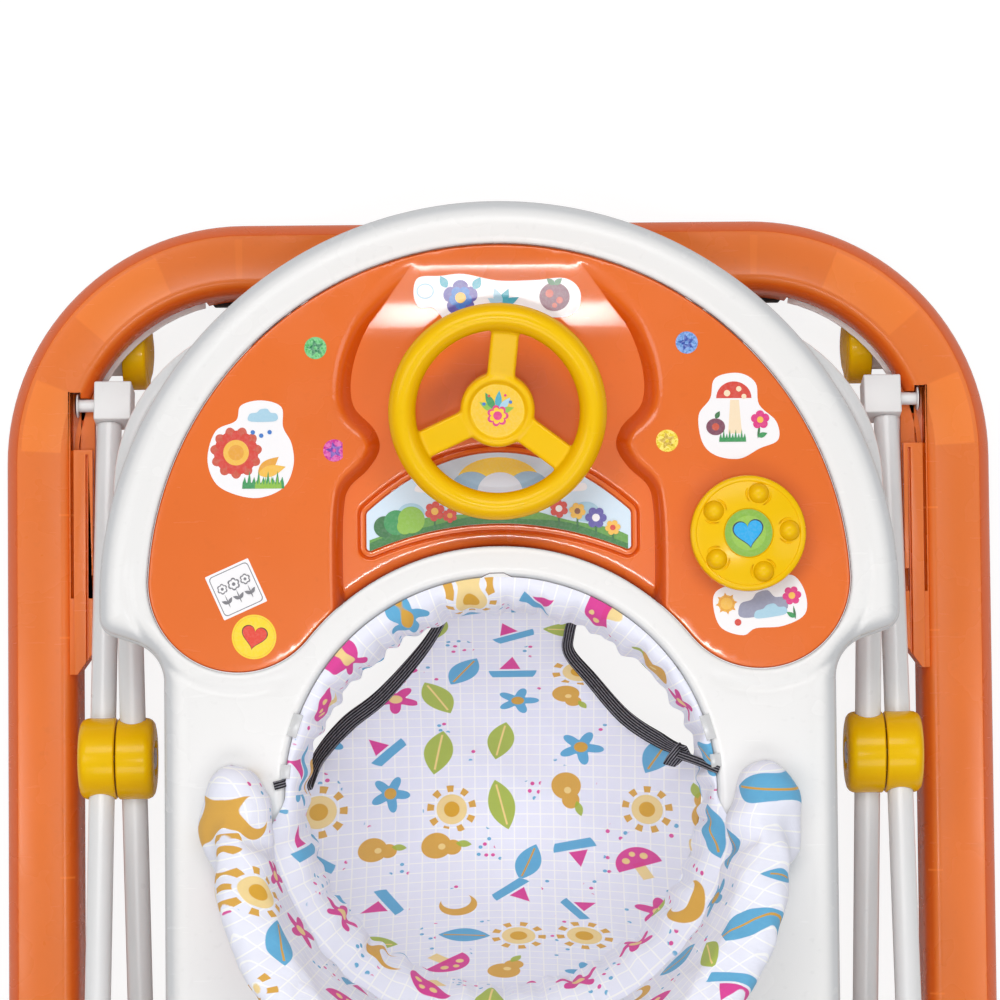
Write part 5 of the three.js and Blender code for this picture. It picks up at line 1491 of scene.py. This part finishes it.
def hill(lift, wave):
    """The part of the picture between its rear edge and a rolling line."""
    across = np.linspace(2 - WINDOW_REACH, WINDOW_REACH - 2, 60)
    lower = [(x, rear_line(x)) for x in across]
    return lower + [(x, rear_line(x) + lift + wave * math.sin(x / 9)) for x in reversed(across)]


BLOOMS = ((-38, 147, 6, "red", "amber"), (-29, 144.4, 4.4, "red", "gold"),
          (36, 148, 5.6, "red", "white"), (47, 146.4, 5, "amber", "brown"),
          (58, 142.4, 6.4, "violet", "white"), (68, 136.4, 4.6, "amber", "red"))


def window_picture():
    shapes = [(inset_of(WINDOW_OUTLINE, 0.25), paint(212, 233, 249))]
    shapes += drawn("""
        sun oval 0 164 25 15; mist oval -16 159 13 11.5; mist oval 18 159 13 11.5;
        haze oval 1 158 13.5 12; white cloud -38 160 24 9; white cloud 42 160 22 9;
        sky oval -52 146 8 6; sky oval 52 146 8 6""")
    shapes += [(hill(7.5, 1.2), paint(96, 160, 60)), (hill(4, -0.8), paint(46, 122, 52))]
    shapes += drawn("""
        leaf oval -68 138 6.4; green oval -61 140.5 7.4; lime oval -52 142 8;
        lime oval -56 138 4.6""")
    for x, y, r, ink, middle in BLOOMS:
        foot = rear_line(x) + 0.6
        shapes += [(leaf(x, foot, y - foot, 0.6, 90), INK["leaf"]), (flower(x, y, r, 6, x), INK[ink]),
                   (oval(x, y, r * 0.36), INK[middle])]
    return shapes


def dash_plane(points):
    return PANEL_TOP - dash_floor(np.asarray(points)[:, 1])


plate_outline = inset_of(WINDOW_OUTLINE, 0.3)
plate_heights = dash_plane(plate_outline)
low_ring = [(x, y, z - 0.8) for (x, y), z in zip(plate_outline, plate_heights)]
window = relief("dash_window_plate", [plate_outline], np.zeros((0, 2)),
                lambda c: is_inside(c, plate_outline), lambda p: dash_plane(p) - 0.1, [[low_ring]])
place(window, "tray", white_plastic.material, "dash_window", slot="window_print")
printed("dash_picture", window_picture(), dash_plane, "tray", film, 0.02, slot="window_print")

# %% [markdown]
# ## Printed cloth
#
# The seat is sewn from one cotton cloth: pale lilac with a fine white check, and small printed
# pictures strewn over it. Here they are leaves, pears, boats, suns, moons, mushrooms, flowers and
# drops. Voronoi cells scatter them: each cell gives its picture a centre, a kind and a turn, and
# a few distance formulas draw it. The pattern lies in the cloth's own cut, stored as UVs, so it
# bends with the cloth as a print does.

# %% The cloth's finish
UV_UNIT = 100  # millimetres of cloth to one unit of its UV map
PITCH = 40  # millimetres between the middles of neighbouring pictures
CHECK = 8.3  # and between the lines of the check
FULL_TURN = 6.283
INKS = [paint(222, 166, 44), paint(222, 34, 146), paint(170, 188, 62), paint(84, 170, 214),
        paint(246, 217, 146)]


def ink_layers(a, b, r, around):
    """Each kind's shapes as (how far inside, in millimetres, and the ink), from the bottom up."""
    leaf_body = (1 - (a / 15) ** 2) * 7.5 - b.size()
    leaf_rib = (0.55 - b.size()).least(12 - a.size())
    fruit = (8.4 - ((a + 3) ** 2 + b ** 2) ** 0.5).most(5 - ((a - 6) ** 2 + b ** 2) ** 0.5)
    fruit_leaf = (1 - ((a - 12) / 4.5) ** 2) * 2.2 - (b - 3).size()
    cap = (12 - r).least(a + 1)
    stalk = (3 - b.size()).least(a + 10).least(2 - a)
    spot = (2 - ((a - 5) ** 2 + (b.size() - 5) ** 2) ** 0.5).most(
        1.6 - ((a - 8) ** 2 + b ** 2) ** 0.5)
    hull = (12.5 - r).least(-1 * a - 1).least(a + 7)
    sail = ((12 - a) * 0.6 - b).least(b + (12 - a) * 0.35).least(a - 0.4)
    rays = (14.5 - r).least(r - 10.5).least(((around * 9).cosine() - 0.2) * 3)
    bloom = 8.6 + (around * 5).cosine() * 3.4 - r
    moon = (11.5 - r).least((((a - 4.5) ** 2 + (b - 2) ** 2) ** 0.5) - 9)
    gold, pink, lime, blue, cream = INKS
    return [
        [(leaf_body, lime), (leaf_rib, cream)],
        [(fruit, gold), (fruit_leaf, lime), (2 - r, cream)],
        [(stalk, cream), (cap, pink), (spot, cream)],
        [(hull, blue), (sail, pink)],
        [(9 - r, cream), (rays, gold), (4.6 - r, gold)],
        [(bloom, blue), (3.6 - r, gold)],
        [(moon, gold)],
        [(bloom, pink), (3.4 - r, cream)],
        [(leaf_body, blue), (leaf_rib, gold)],
    ]


def printed_cloth(name):
    made = Finish(name, {"Specular IOR Level": 0.2, "Sheen Weight": 0.15})
    u, v, _ = made.axes(made.node("ShaderNodeUVMap", {"uv_map": "cut"}))
    u, v = u * UV_UNIT, v * UV_UNIT
    from_line_u = ((u / CHECK).fraction() - 0.5).size()
    from_line_v = ((v / CHECK).fraction() - 0.5).size()
    grid = from_line_u.most(from_line_v).step(0.43, 0.47)
    shade = made.noise(made.vector(u / 40, v / 40), 1.0, detail=3)
    color = made.blend(shade, paint(235, 237, 252), paint(243, 244, 255))
    color = made.blend(grid * 0.9, color, paint(255, 255, 255))
    cell = made.node("ShaderNodeTexVoronoi", {"voronoi_dimensions": "2D"},
                     {"Vector": made.vector(u / PITCH, v / PITCH), "Scale": 1.0, "Randomness": 0.46},
                     output="Position")
    kind, turn, size = made.axes(Value(made, cell.socket.node.outputs["Color"]))
    centre_u, centre_v, _ = made.axes(cell)
    along, across = u - centre_u * PITCH, v - centre_v * PITCH
    cosine, sine = (turn * FULL_TURN).cosine(), (turn * FULL_TURN).sine()
    scale = 1.0 + size * 0.22
    a = (along * cosine + across * sine) / scale
    b = (across * cosine - along * sine) / scale
    kinds = ink_layers(a, b, (a * a + b * b) ** 0.5, b.math("ARCTAN2", a))
    for number, layers in enumerate(kinds):
        chosen = (kind > number / len(kinds)) * (kind < (number + 1) / len(kinds))
        for inside, ink in layers:
            color = made.blend(inside.step(-0.25, 0.25) * chosen * 0.94, color, ink)
    speck = made.node("ShaderNodeTexVoronoi", {"voronoi_dimensions": "2D"},
                      {"Vector": made.vector(u / 6, v / 6), "Scale": 1.0, "Randomness": 0.9})
    hue, chance, _ = made.axes(Value(made, speck.socket.node.outputs["Color"]))
    group = made.noise(made.vector(u / 26, v / 26), 1.0, detail=0).step(0.6, 0.62)
    between = ((along * along + across * across) ** 0.5).step(17, 18) * group
    dot = speck.step(0.24, 0.19) * between * (chance > 0.35)
    color = made.blend(dot * 0.9, color, made.blend(hue > 0.5, INKS[1], INKS[3]))
    made.set("Base Color", color)
    made.set("Roughness", made.noise(made.vector(u / 3, v / 3), 1.0) * 0.1 + 0.85)
    threads = (u * 13).sine() * 0.5 + (v * 13).sine() * 0.5
    crumple = made.noise(made.vector(u / 9, v / 9), 1.0, detail=3)
    made.bump(threads * 0.05 + crumple, 0.0009, 0.7)
    return made.material


cloth_print = printed_cloth("cotton_print")


# %% Laying a piece out flat
def lay_out(piece, place_of, round_trip=None):
    """Writes where each corner lies in the cut as UVs; round_trip is a closed band's length."""
    flat = place_of(np.array([vertex.co for vertex in piece.data.vertices]) / MM)
    layer = piece.data.uv_layers.new(name="cut")
    for polygon in piece.data.polygons:
        corners = [list(flat[i]) for i in polygon.vertices]
        furthest = max(corner[0] for corner in corners)
        for loop, corner in zip(polygon.loop_indices, corners):
            if round_trip and furthest - corner[0] > round_trip / 2:
                corner[0] += round_trip
            layer.data[loop].uv = (corner[0] / UV_UNIT, corner[1] / UV_UNIT)
    return piece


def grid_piece(name, rows, closed_along=False, closed_across=False):
    """A net of quads over rows of points in millimetres."""
    rows = np.asarray(rows, float)
    count, width = rows.shape[:2]
    faces = []
    for i in range(count if closed_along else count - 1):
        for j in range(width if closed_across else width - 1):
            k, m = (i + 1) % count, (j + 1) % width
            faces.append((i * width + j, k * width + j, k * width + m, i * width + m))
    return net_piece(name, rows.reshape(-1, 3) * MM, faces)


def cloth_area(piece):
    return sum(polygon.area for polygon in piece.data.polygons)


# %% [markdown]
# ## Seat
#
# The seat hangs in the tray's hole from a gathered band. Below the band one panel goes from the
# front, between the legs, up to the rear, and its two free edges are the leg openings. A hanging
# panel takes the shape of a loaded skin, so that is solved: a net of heights, fixed at the edges,
# settles under a load until each point lies as deep as its neighbours allow.

# %% The seat panel's edges
LEFT_EDGE = [(-31, 88.6, 176), (-46.3, 66.1, 133), (-72.6, 37.2, 108), (-94.4, 19.9, 112),
             (-110, 0.8, 138), (-116.4, -19.1, 175)]
RIGHT_EDGE = [(46.5, 90.4, 176), (42.2, 74, 150), (42.6, 62.6, 124), (55.7, 46.9, 106),
              (76.7, 22.7, 110), (97.4, 8.4, 138), (113, 1.5, 175)]
left_edge, right_edge = curve_through(LEFT_EDGE, 12), curve_through(RIGHT_EDGE, 12)
RIM, RIM_DROP = 119.4, 30  # the panel is sewn into the band here


def rim_arc(start, end):
    angles = np.radians(np.linspace(start, end, max(4, int(abs(end - start) / 2.2))))
    return [(RIM * math.cos(t), HOLE_Y + RIM * math.sin(t), TRAY_TOP - RIM_DROP) for t in angles]


def angle_of(point):
    return math.degrees(math.atan2(point[1] - HOLE_Y, point[0]))


SEAT_EDGE = (rim_arc(angle_of(right_edge[0]), angle_of(left_edge[0]))[1:-1] + left_edge
             + rim_arc(angle_of(left_edge[-1]), 360 + angle_of(right_edge[-1]))[1:-1]
             + list(reversed(right_edge)))
seat_outline = resampled([(p[0], p[1]) for p in SEAT_EDGE], 4)
edge_points = np.array(SEAT_EDGE)

# %% Let the panel settle
STEP = 3.0
SETTLING = 6000
SEAT_LOW = 20
grid_x, grid_y = np.arange(-126, 126.1, STEP), np.arange(-147, 111.1, STEP)
nodes_at = np.array([(x, y) for y in grid_y for x in grid_x])
free_net = is_inside(nodes_at, seat_outline).reshape(len(grid_y), len(grid_x))
nearest = ((nodes_at[:, None] - edge_points[None, :, :2]) ** 2).sum(2).argmin(1)
edge_z = edge_points[nearest, 2].reshape(free_net.shape)
load = 1 + 1.3 * eased(-grid_y, -60, 60)[:, None] + 0 * grid_x[None, :]


def settled(fixed, push):
    """Heights that are fixed outside the panel and settle inside it under the push."""
    z = fixed.copy()
    for _ in range(SETTLING):
        around = (np.roll(z, 1, 0) + np.roll(z, -1, 0) + np.roll(z, 1, 1) + np.roll(z, -1, 1)) / 4
        z = np.where(free_net, around + push, fixed)
    return z


resting, sag = settled(edge_z, 0 * load), settled(0 * edge_z, load)
depth = min((resting - SEAT_LOW)[free_net] / sag[free_net])
seat_net = resting - sag * depth
middle_line = seat_net[:, len(grid_x) // 2]
along_line = np.concatenate([[0], np.cumsum(np.hypot(np.diff(grid_y), np.diff(middle_line)))])
print("seat's lowest point", round(float(seat_net.min()), 1), "mm above the floor")


def seat_height(points):
    """The settled net between its points, with gathers along the rim and a few wide creases."""
    points = np.asarray(points, float)
    column = np.clip((points[:, 0] - grid_x[0]) / STEP, 0, len(grid_x) - 1.001)
    row = np.clip((points[:, 1] - grid_y[0]) / STEP, 0, len(grid_y) - 1.001)
    i, j = row.astype(int), column.astype(int)
    s, t = row - i, column - j
    z = ((1 - s) * ((1 - t) * seat_net[i, j] + t * seat_net[i, j + 1])
         + s * ((1 - t) * seat_net[i + 1, j] + t * seat_net[i + 1, j + 1]))
    angle = np.arctan2(points[:, 1] - HOLE_Y, points[:, 0])
    inside = RIM - np.hypot(points[:, 0], points[:, 1] - HOLE_Y)
    gathers = (2.2 * np.sin(angle * 31 + 2 * np.sin(angle * 5)) * np.exp(-inside / 16)
               * eased(inside, 0, 5))
    pulls = (1.5 * np.sin((points[:, 0] * 0.8 + points[:, 1]) / 11 + 1.6 * np.sin(points[:, 1] / 29))
             + 1.1 * np.sin((points[:, 1] * 0.5 - points[:, 0]) / 14 + 2))
    return z + gathers + pulls * eased(depth_in(points, seat_outline), 1, 16)


def seat_cut(points):
    """The cut follows the panel's middle line, so the print isn't stretched where it hangs."""
    return np.column_stack([points[:, 0], np.interp(points[:, 1], grid_y, along_line)])


def build_seat():
    def within(points):
        return depth_in(points, seat_outline) > 0.6

    rows = np.arange(grid_y[0], grid_y[-1], 2.9)
    net = np.array([(x + (k % 2) * 1.6, y) for k, y in enumerate(rows)
                    for x in np.arange(-120, 121, 3.2)])
    net = net[within(net)]
    panel = relief("seat_panel", [seat_outline], net[depth_in(net, seat_outline) > 1.6],
                   lambda centres: is_inside(centres, seat_outline), seat_height, [[]])
    area = cloth_area(panel)
    modify(panel, "SOLIDIFY", thickness=0.9 * MM, offset=0)
    lay_out(smooth(panel, 60), seat_cut)
    return panel, area


seat_panel, seat_area = build_seat()
place(seat_panel, "tray", cloth_print, "seat_sling", slot="cloth")

# %% [markdown]
# The band is a casing of the same cloth round the hole, gathered on an elastic, so it is full of
# small folds. It is made as rows of points round the hole, and each row leans in and out.

# %% The gathered band
BAND = [  # (radius about the hole's middle, height over the tray)
    (127.2, -1.6), (126.2, -0.8), (124.6, -1.2), (122.6, -4), (121, -8.6), (119.8, -14),
    (118.8, -19.4), (117.8, -24.6), (117, -28.6), (116.4, -31.4), (117.4, -33.2), (119, -32.4),
    (120, -29),
]
# Added to the band's section where it lines the backrest.
BEHIND = [(14, 12), (10, 8.4), (6, 4.8), (3, 3.6), (1, 1.6)] + [(0, 0)] * 8
BAND_REACH = 122


def band_rows():
    rows = []
    for degree in np.arange(0, 360, 0.75):
        t = math.radians(degree)
        front = math.exp(-((degree - 92) / 62) ** 4)  # the band bulges inwards there
        wide = 1.6 * math.cos(t) + 0.9 * math.sin(2 * t + 1) - 8.5 * front
        behind = float(eased(math.sin(-t), 0.0, 0.22))
        row = []
        for number, (radius, drop) in enumerate(BAND):
            radius += behind * BEHIND[number][0]
            drop += behind * BEHIND[number][1]
            share = min(1.0, number / 5)
            fold = (1.2 * math.sin(38 * t + 2.4 * math.sin(3 * t) + number * 0.35)
                    + 0.8 * math.sin(61 * t + 3 * math.sin(5 * t))
                    + 0.9 * math.sin(17 * t + 1 + number * 0.2))
            reach = radius + share * (wide + fold)
            row.append((reach * math.cos(t), HOLE_Y + reach * math.sin(t),
                        TRAY_TOP + drop + share * 0.9 * math.sin(23 * t + number)))
        rows.append(row)
    return rows


def band_cut(points):
    angle = np.arctan2(points[:, 1] - HOLE_Y, points[:, 0])
    return np.column_stack([angle * BAND_REACH, 1.25 * (TRAY_TOP - points[:, 2]) + 400])


band = grid_piece("seat_band", band_rows(), closed_along=True)
outward(band)
modify(band, "SUBSURF", levels=1, render_levels=1)
modify(band, "SOLIDIFY", thickness=0.8 * MM, offset=0)
lay_out(smooth(band, 70), band_cut, round_trip=2 * math.pi * BAND_REACH)
place(band, "tray", cloth_print, "seat_sling", slot="cloth")

# %% [markdown]
# The leg openings are bound with ribbed elastic, dark grey with a few pale threads. A strip of
# elastic is a flat band swept along the edge, so its section follows the edge's direction.

# %% Ribbed elastic
RIB = 1.55
STRIP_SECTION = [(-1, 0), (-0.96, 0.7), (-0.8, 1), (-0.4, 1), (0, 1), (0.4, 1), (0.8, 1), (0.96, 0.7),
                 (1, 0), (0.96, -0.7), (0.8, -1), (0.4, -1), (0, -1), (-0.4, -1), (-0.8, -1),
                 (-0.96, -0.7)]


def ribbed_elastic():
    made = Finish("ribbed_elastic", {"Specular IOR Level": 0.25})
    u, v, _ = made.axes(made.node("ShaderNodeUVMap", {"uv_map": "cut"}))
    ribs = (v * UV_UNIT * 2 * math.pi / RIB).sine()
    fray = made.noise(made.vector(u * UV_UNIT / 3, v * UV_UNIT * 1.3), 1.0, detail=2)
    thread = (ribs * 0.5 + fray).step(0.5, 0.86)
    made.set("Base Color", made.blend(thread * 0.8, paint(38, 37, 43), paint(150, 148, 156)))
    made.set("Roughness", 0.8 + fray * 0.15)
    made.bump(ribs * 0.4 + (u * UV_UNIT * 5).sine() * 0.15 + 0.5, 0.0005)
    return made.material


def ribbon(name, path, widths, thickness, up):
    """A flat strip along a path of points, in millimetres; up is the way its face looks."""
    path = np.array(path, float)
    along = np.gradient(path, axis=0)
    along /= np.linalg.norm(along, axis=1)[:, None]
    up = np.broadcast_to(np.array(up, float), path.shape)
    side = np.cross(along, up)
    side /= np.linalg.norm(side, axis=1)[:, None]
    face = np.cross(side, along)
    widths = np.interp(np.linspace(0, 1, len(path)), np.linspace(0, 1, len(widths)), widths)
    rows = [[p + s * w * a / 2 + f * thickness * b / 2 for a, b in STRIP_SECTION]
            for p, s, f, w in zip(path, side, face, widths)]
    piece = grid_piece(name, rows, closed_across=True)
    run = np.concatenate([[0], np.cumsum(np.linalg.norm(np.diff(path, axis=0), axis=1))])
    layer = piece.data.uv_layers.new(name="cut")
    for polygon in piece.data.polygons:
        for loop, vertex in zip(polygon.loop_indices, polygon.vertices):
            row, spot = divmod(vertex, len(STRIP_SECTION))
            across = STRIP_SECTION[spot][0] * widths[row] / 2
            layer.data[loop].uv = (run[row] / UV_UNIT, across / UV_UNIT)
    edit(piece)
    close_ends(piece)
    face_out()
    return place(smooth(piece, 50), "tray", elastic, slot="cloth")


elastic = ribbed_elastic()
lift = np.array([0, 0, 0.9])
knot_path = [(101.4, -5.4, 166), (102.8, -3.4, 170), (105.4, -0.2, 171.4), (108, 2.8, 169.6),
             (109, 4.2, 166)]
left_path = [(-119, -10, 180), (-123, -11.5, 193), (-127, -13, 204), (-130, -14, 208),
             (-134, -15, 208.2)]
right_path = [(107, 0.6, 173), (113, -1.6, 183), (119.4, -4, 196), (124.6, -6.4, 205.6),
              (128.6, -8, 208)]
RIBBONS = {  # name: (path, widths along it, thickness, the way its face looks)
    "binding_left": (np.array(left_edge[2:-1]) + lift, [5.5, 7.6, 9.8, 10.4, 9.2, 7], 2.4,
                     (-0.25, -0.2, 1)),
    "binding_right": (np.array(right_edge[2:-1]) + lift, [6, 7, 8, 9, 9.8, 9.4], 2.4,
                      (0.2, -0.25, 1)),
    "binding_knot": (curve_through(knot_path, 6), [8, 9.6, 8], 1.8, (0.15, -0.15, 1)),
    "strap_left": (curve_through(left_path, 6), [4.6, 5], 1.4, (0, 0, 1)),
    "strap_right": (curve_through(right_path, 6), [5.4, 4.6], 1.4, (0, 0, 1)),
}
for name, strip in RIBBONS.items():
    ribbon(name, *strip)

# %% [markdown]
# Small clear clips hold the casing to the hole's edge. Each is a thin tab with a lip that hooks
# over the edge.

# %% Clear clips
def clear_plastic():
    made = Finish("clear_plastic", {"Transmission Weight": 0.45, "IOR": 1.46})
    on = made.place()
    made.set("Base Color", made.blend(made.noise(on, 60), paint(240, 241, 243),
                                      paint(251, 251, 251)))
    made.set("Roughness", made.noise(on, 120) * 0.15 + 0.12)
    return made.bump(made.noise(on, 300), 0.00005)


clear = clear_plastic()
for number, (angle, length) in enumerate(((161.5, 14), (174, 8), (17, 15), (8, 8))):
    tab = block("tab", (125.2, -length / 2, TRAY_TOP - 0.4), (131, length / 2, TRAY_TOP + 0.9))
    lip = block("lip", (125.2, -length / 2, TRAY_TOP - 8), (126.4, length / 2, TRAY_TOP + 0.2))
    clip = soften(carve(tab, lip, operation="UNION"), 0.5, 3)
    clip.data.transform(Matrix.Translation((0, HOLE_Y * MM, 0))
                        @ turning(angle, "Z"))
    clip.name = clip.data.name = f"clip_{number + 1}"
    place(clip, "tray", clear.material, slot="hood_white")

# %% [markdown]
# ## Backrest
#
# A curved plastic wall stands behind the seat under a padded cover. The cover starts as the
# measured pad, the wall inside it and a lump of bunched cloth at each front end, melted into one
# skin and made a little slimmer. A cloth simulation with inner pressure then makes it swell
# between its edges as wadding does. No point may move further than a few millimetres.

# %% The padded cover
def swollen(piece, voxel=5.0, frames=20, pressure=4.0, most=7.0):
    """The pressure blows the piece up; most is the furthest that a point may move, in mm."""
    modify(piece, "REMESH", mode="VOXEL", voxel_size=voxel * MM)
    start = np.array([vertex.co for vertex in piece.data.vertices])
    only(piece)
    cloth = piece.modifiers.new("Cloth", "CLOTH")
    cloth.settings.quality = 5
    cloth.settings.use_pressure = True
    cloth.settings.uniform_pressure_force = pressure
    cloth.settings.effector_weights.gravity = 0
    cloth.point_cache.frame_end = frames
    for number in range(1, frames + 1):
        bpy.context.scene.frame_set(number)
    bpy.ops.object.modifier_apply(modifier=cloth.name)
    bpy.context.scene.frame_set(1)
    moved = np.array([vertex.co for vertex in piece.data.vertices]) - start
    far = np.maximum(np.linalg.norm(moved, axis=1) / (most * MM), 1)[:, None]
    for vertex, place_now in zip(piece.data.vertices, start + moved / far):
        vertex.co = place_now
    return modify(piece, "SUBSURF", levels=1, render_levels=1)


PAD_REACH = 155


def pad_cut(points):
    """The cover rolled out flat, on its own part of the print."""
    angle = np.arctan2(-(points[:, 1] - HOLE_Y), points[:, 0])
    angle = np.where(angle < -math.pi / 2, angle + 2 * math.pi, angle)
    reach = np.hypot(points[:, 0], points[:, 1] - HOLE_Y)
    return np.column_stack([angle * PAD_REACH + 900,
                            points[:, 2] + 0.7 * (reach - PAD_REACH) + 700])


def puff(x, y):
    """How far the cloth stands off at the front ends, in millimetres."""
    angle = math.atan2(-(y - HOLE_Y), abs(x))
    end = math.exp(-max(angle, 0) / 0.3)
    return end * (1.2 + 1.6 * math.sin(x / 10 + 2 * math.sin(y / 11)))


def folds_on(piece, amount=1.1):
    """Soft creases across the cover, and ends that puff up, deepest where the wall is lowest."""
    for vertex in piece.data.vertices:
        x, y, z = vertex.co / MM
        vertex.co += vertex.normal * puff(x, y) * MM
        angle = math.atan2(-(y - HOLE_Y), x)
        end = math.exp(-min(angle, math.pi - angle) / 0.35) if angle > 0 else 1
        push = amount * (0.35 + end) * math.sin(angle * 34 + z / 17 + 1.5 * math.sin(z / 23)) * 0.7
        push += 0.5 * amount * math.sin(z / 7 + angle * 11)
        out = Vector((math.cos(angle), -math.sin(angle), 0))
        vertex.co += out * push * MM
        vertex.co.z = max(vertex.co.z, TRAY_TOP * MM)
    return piece


def end_lump(sign):
    """The cloth bunches up at the front end of each arm."""
    bpy.ops.mesh.primitive_uv_sphere_add(segments=32, ring_count=16, radius=1)
    lump = named("end_lump")
    lump.data.transform(Matrix.LocRotScale(Vector((sign * 153, -32, TRAY_TOP + 16)) * MM, None,
                                           Vector((23, 35, 21)) * MM))
    return lump


cover = joined("backrest_cover", measured("backrest_pad", "pad"), measured("backrest_shell", "filling"),
               end_lump(1), end_lump(-1))
modify(cover, "REMESH", mode="VOXEL", voxel_size=2.5 * MM)
edit(cover)
bpy.ops.transform.shrink_fatten(value=-2.0 * MM)
leave_edit()
outward(cover)
swollen(cover)
folds_on(cover)
lay_out(smooth(cover, 80), pad_cut)
place(cover, "tray", cloth_print, "backrest_pad", slot="cloth")
shell = measured("backrest_shell", "backrest_wall")
edit(shell)
bpy.ops.transform.shrink_fatten(value=-0.9 * MM)
bpy.ops.transform.resize(value=(1, 1, 0.88), center_override=(0, 0, TRAY_TOP * MM))
leave_edit()
carve(shell, block("wall_end", (-180, -16, TRAY_TOP - 2), (180, 10, TRAY_TOP + 140)))
place(soften(shell, 0.5, 2), "tray", white_plastic.material, "backrest_shell", slot="plate_white")
print("backrest cover:", len(cover.data.polygons), "faces")

# %% [markdown]
# ## Studio
#
# A product like this is shot on a pale sweep under large soft boxes, with the camera high above
# it, so that every edge has a soft gradient and no shadow is hard. The floor stays a plain pale
# surface that takes the object's shadow. The camera sees it as a dim grey with an even glow
# added, which makes it nearly white without any more light on the object.

# %% Floor
FLOOR_GREY, FLOOR_GLOW = 0.21, 0.85


def pale_floor():
    bpy.ops.mesh.primitive_plane_add(size=14, location=(0, 0, -0.0004))
    floor = named("studio_floor")
    edit(floor)
    bpy.ops.mesh.subdivide(number_cuts=8)
    leave_edit()
    made = Finish("floor_paper", {"Roughness": 0.9, "Specular IOR Level": 0.1})
    on = made.place()
    made.set("Base Color", made.blend(made.noise(on, 3), (0.84, 0.84, 0.84), (0.88, 0.88, 0.88)))
    seen = made.node("ShaderNodeLightPath", output="Is Camera Ray")
    grey = made.node("ShaderNodeBsdfDiffuse", inputs={"Color": (*[FLOOR_GREY] * 3, 1)})
    glow = made.node("ShaderNodeEmission", inputs={"Color": (1, 1, 1, 1), "Strength": FLOOR_GLOW})
    lit = made.node("ShaderNodeAddShader", inputs={0: grey, 1: glow})
    paper = Value(made, made.shader.outputs[0])
    mixed = made.node("ShaderNodeMixShader", inputs={0: seen, 1: paper, 2: lit})
    made.tree.links.new(mixed.socket, made.tree.nodes["Material Output"].inputs["Surface"])
    floor.data.materials.append(made.material)
    return floor


pale_floor()

# %% Lamps and world
def soft_box(name, at, aim, size, power):
    """An area lamp that looks from one point at another, in metres and watts."""
    lamp = bpy.data.lights.new(name, "AREA")
    lamp.shape, lamp.size, lamp.size_y, lamp.energy = "RECTANGLE", size[0], size[1], power
    holder = bpy.data.objects.new(name, lamp)
    bpy.context.collection.objects.link(holder)
    holder.location = at
    holder.rotation_euler = (Vector(aim) - Vector(at)).to_track_quat("-Z", "Y").to_euler()


soft_box("front_box", (-0.2, 1.5, 2.8), (0, 0.05, 0.15), (2.2, 0.9), 31.5)
soft_box("rear_box", (0.1, -1.55, 2.8), (0, 0, 0.15), (2.0, 0.9), 19)
soft_box("left_box", (-1.65, 0.1, 2.75), (0, 0, 0.15), (0.9, 1.6), 12)
soft_box("right_box", (1.65, 0.1, 2.75), (0, 0, 0.15), (0.9, 1.6), 10)
soft_box("strip_light", (0, -0.157, 2.5), (0, -0.157, 0), (0.3, 0.095), 4.6)

world = bpy.data.worlds.new("studio_air")
bpy.context.scene.world = world
world.use_nodes = True
air = world.node_tree
light_path = air.nodes.new("ShaderNodeLightPath")
strength = air.nodes.new("ShaderNodeMapRange")
air.links.new(light_path.outputs["Is Camera Ray"], strength.inputs["Value"])
strength.inputs["To Min"].default_value = 0.34  # what the object gets
strength.inputs["To Max"].default_value = 1.0  # what the camera sees
air.links.new(strength.outputs[0], air.nodes["Background"].inputs["Strength"])
air.nodes["Background"].inputs["Color"].default_value = (1, 1, 1, 1)
bpy.context.scene.view_settings.view_transform = "Standard"

# %% [markdown]
# The camera hangs almost straight above the front of the seat, at more than two metres, and
# leans a little towards the front, so the back of the ring falls outside its frame.

# %% Camera
camera = bpy.data.cameras.new("overhead_camera")
camera.lens, camera.sensor_width = 134.6, 36
holder = bpy.data.objects.new("overhead_camera", camera)
holder.location = (0, 0.0497, 2.4198)
holder.rotation_euler = (math.radians(2.668), 0, math.radians(-0.52))
bpy.context.collection.objects.link(holder)
bpy.context.scene.camera = holder
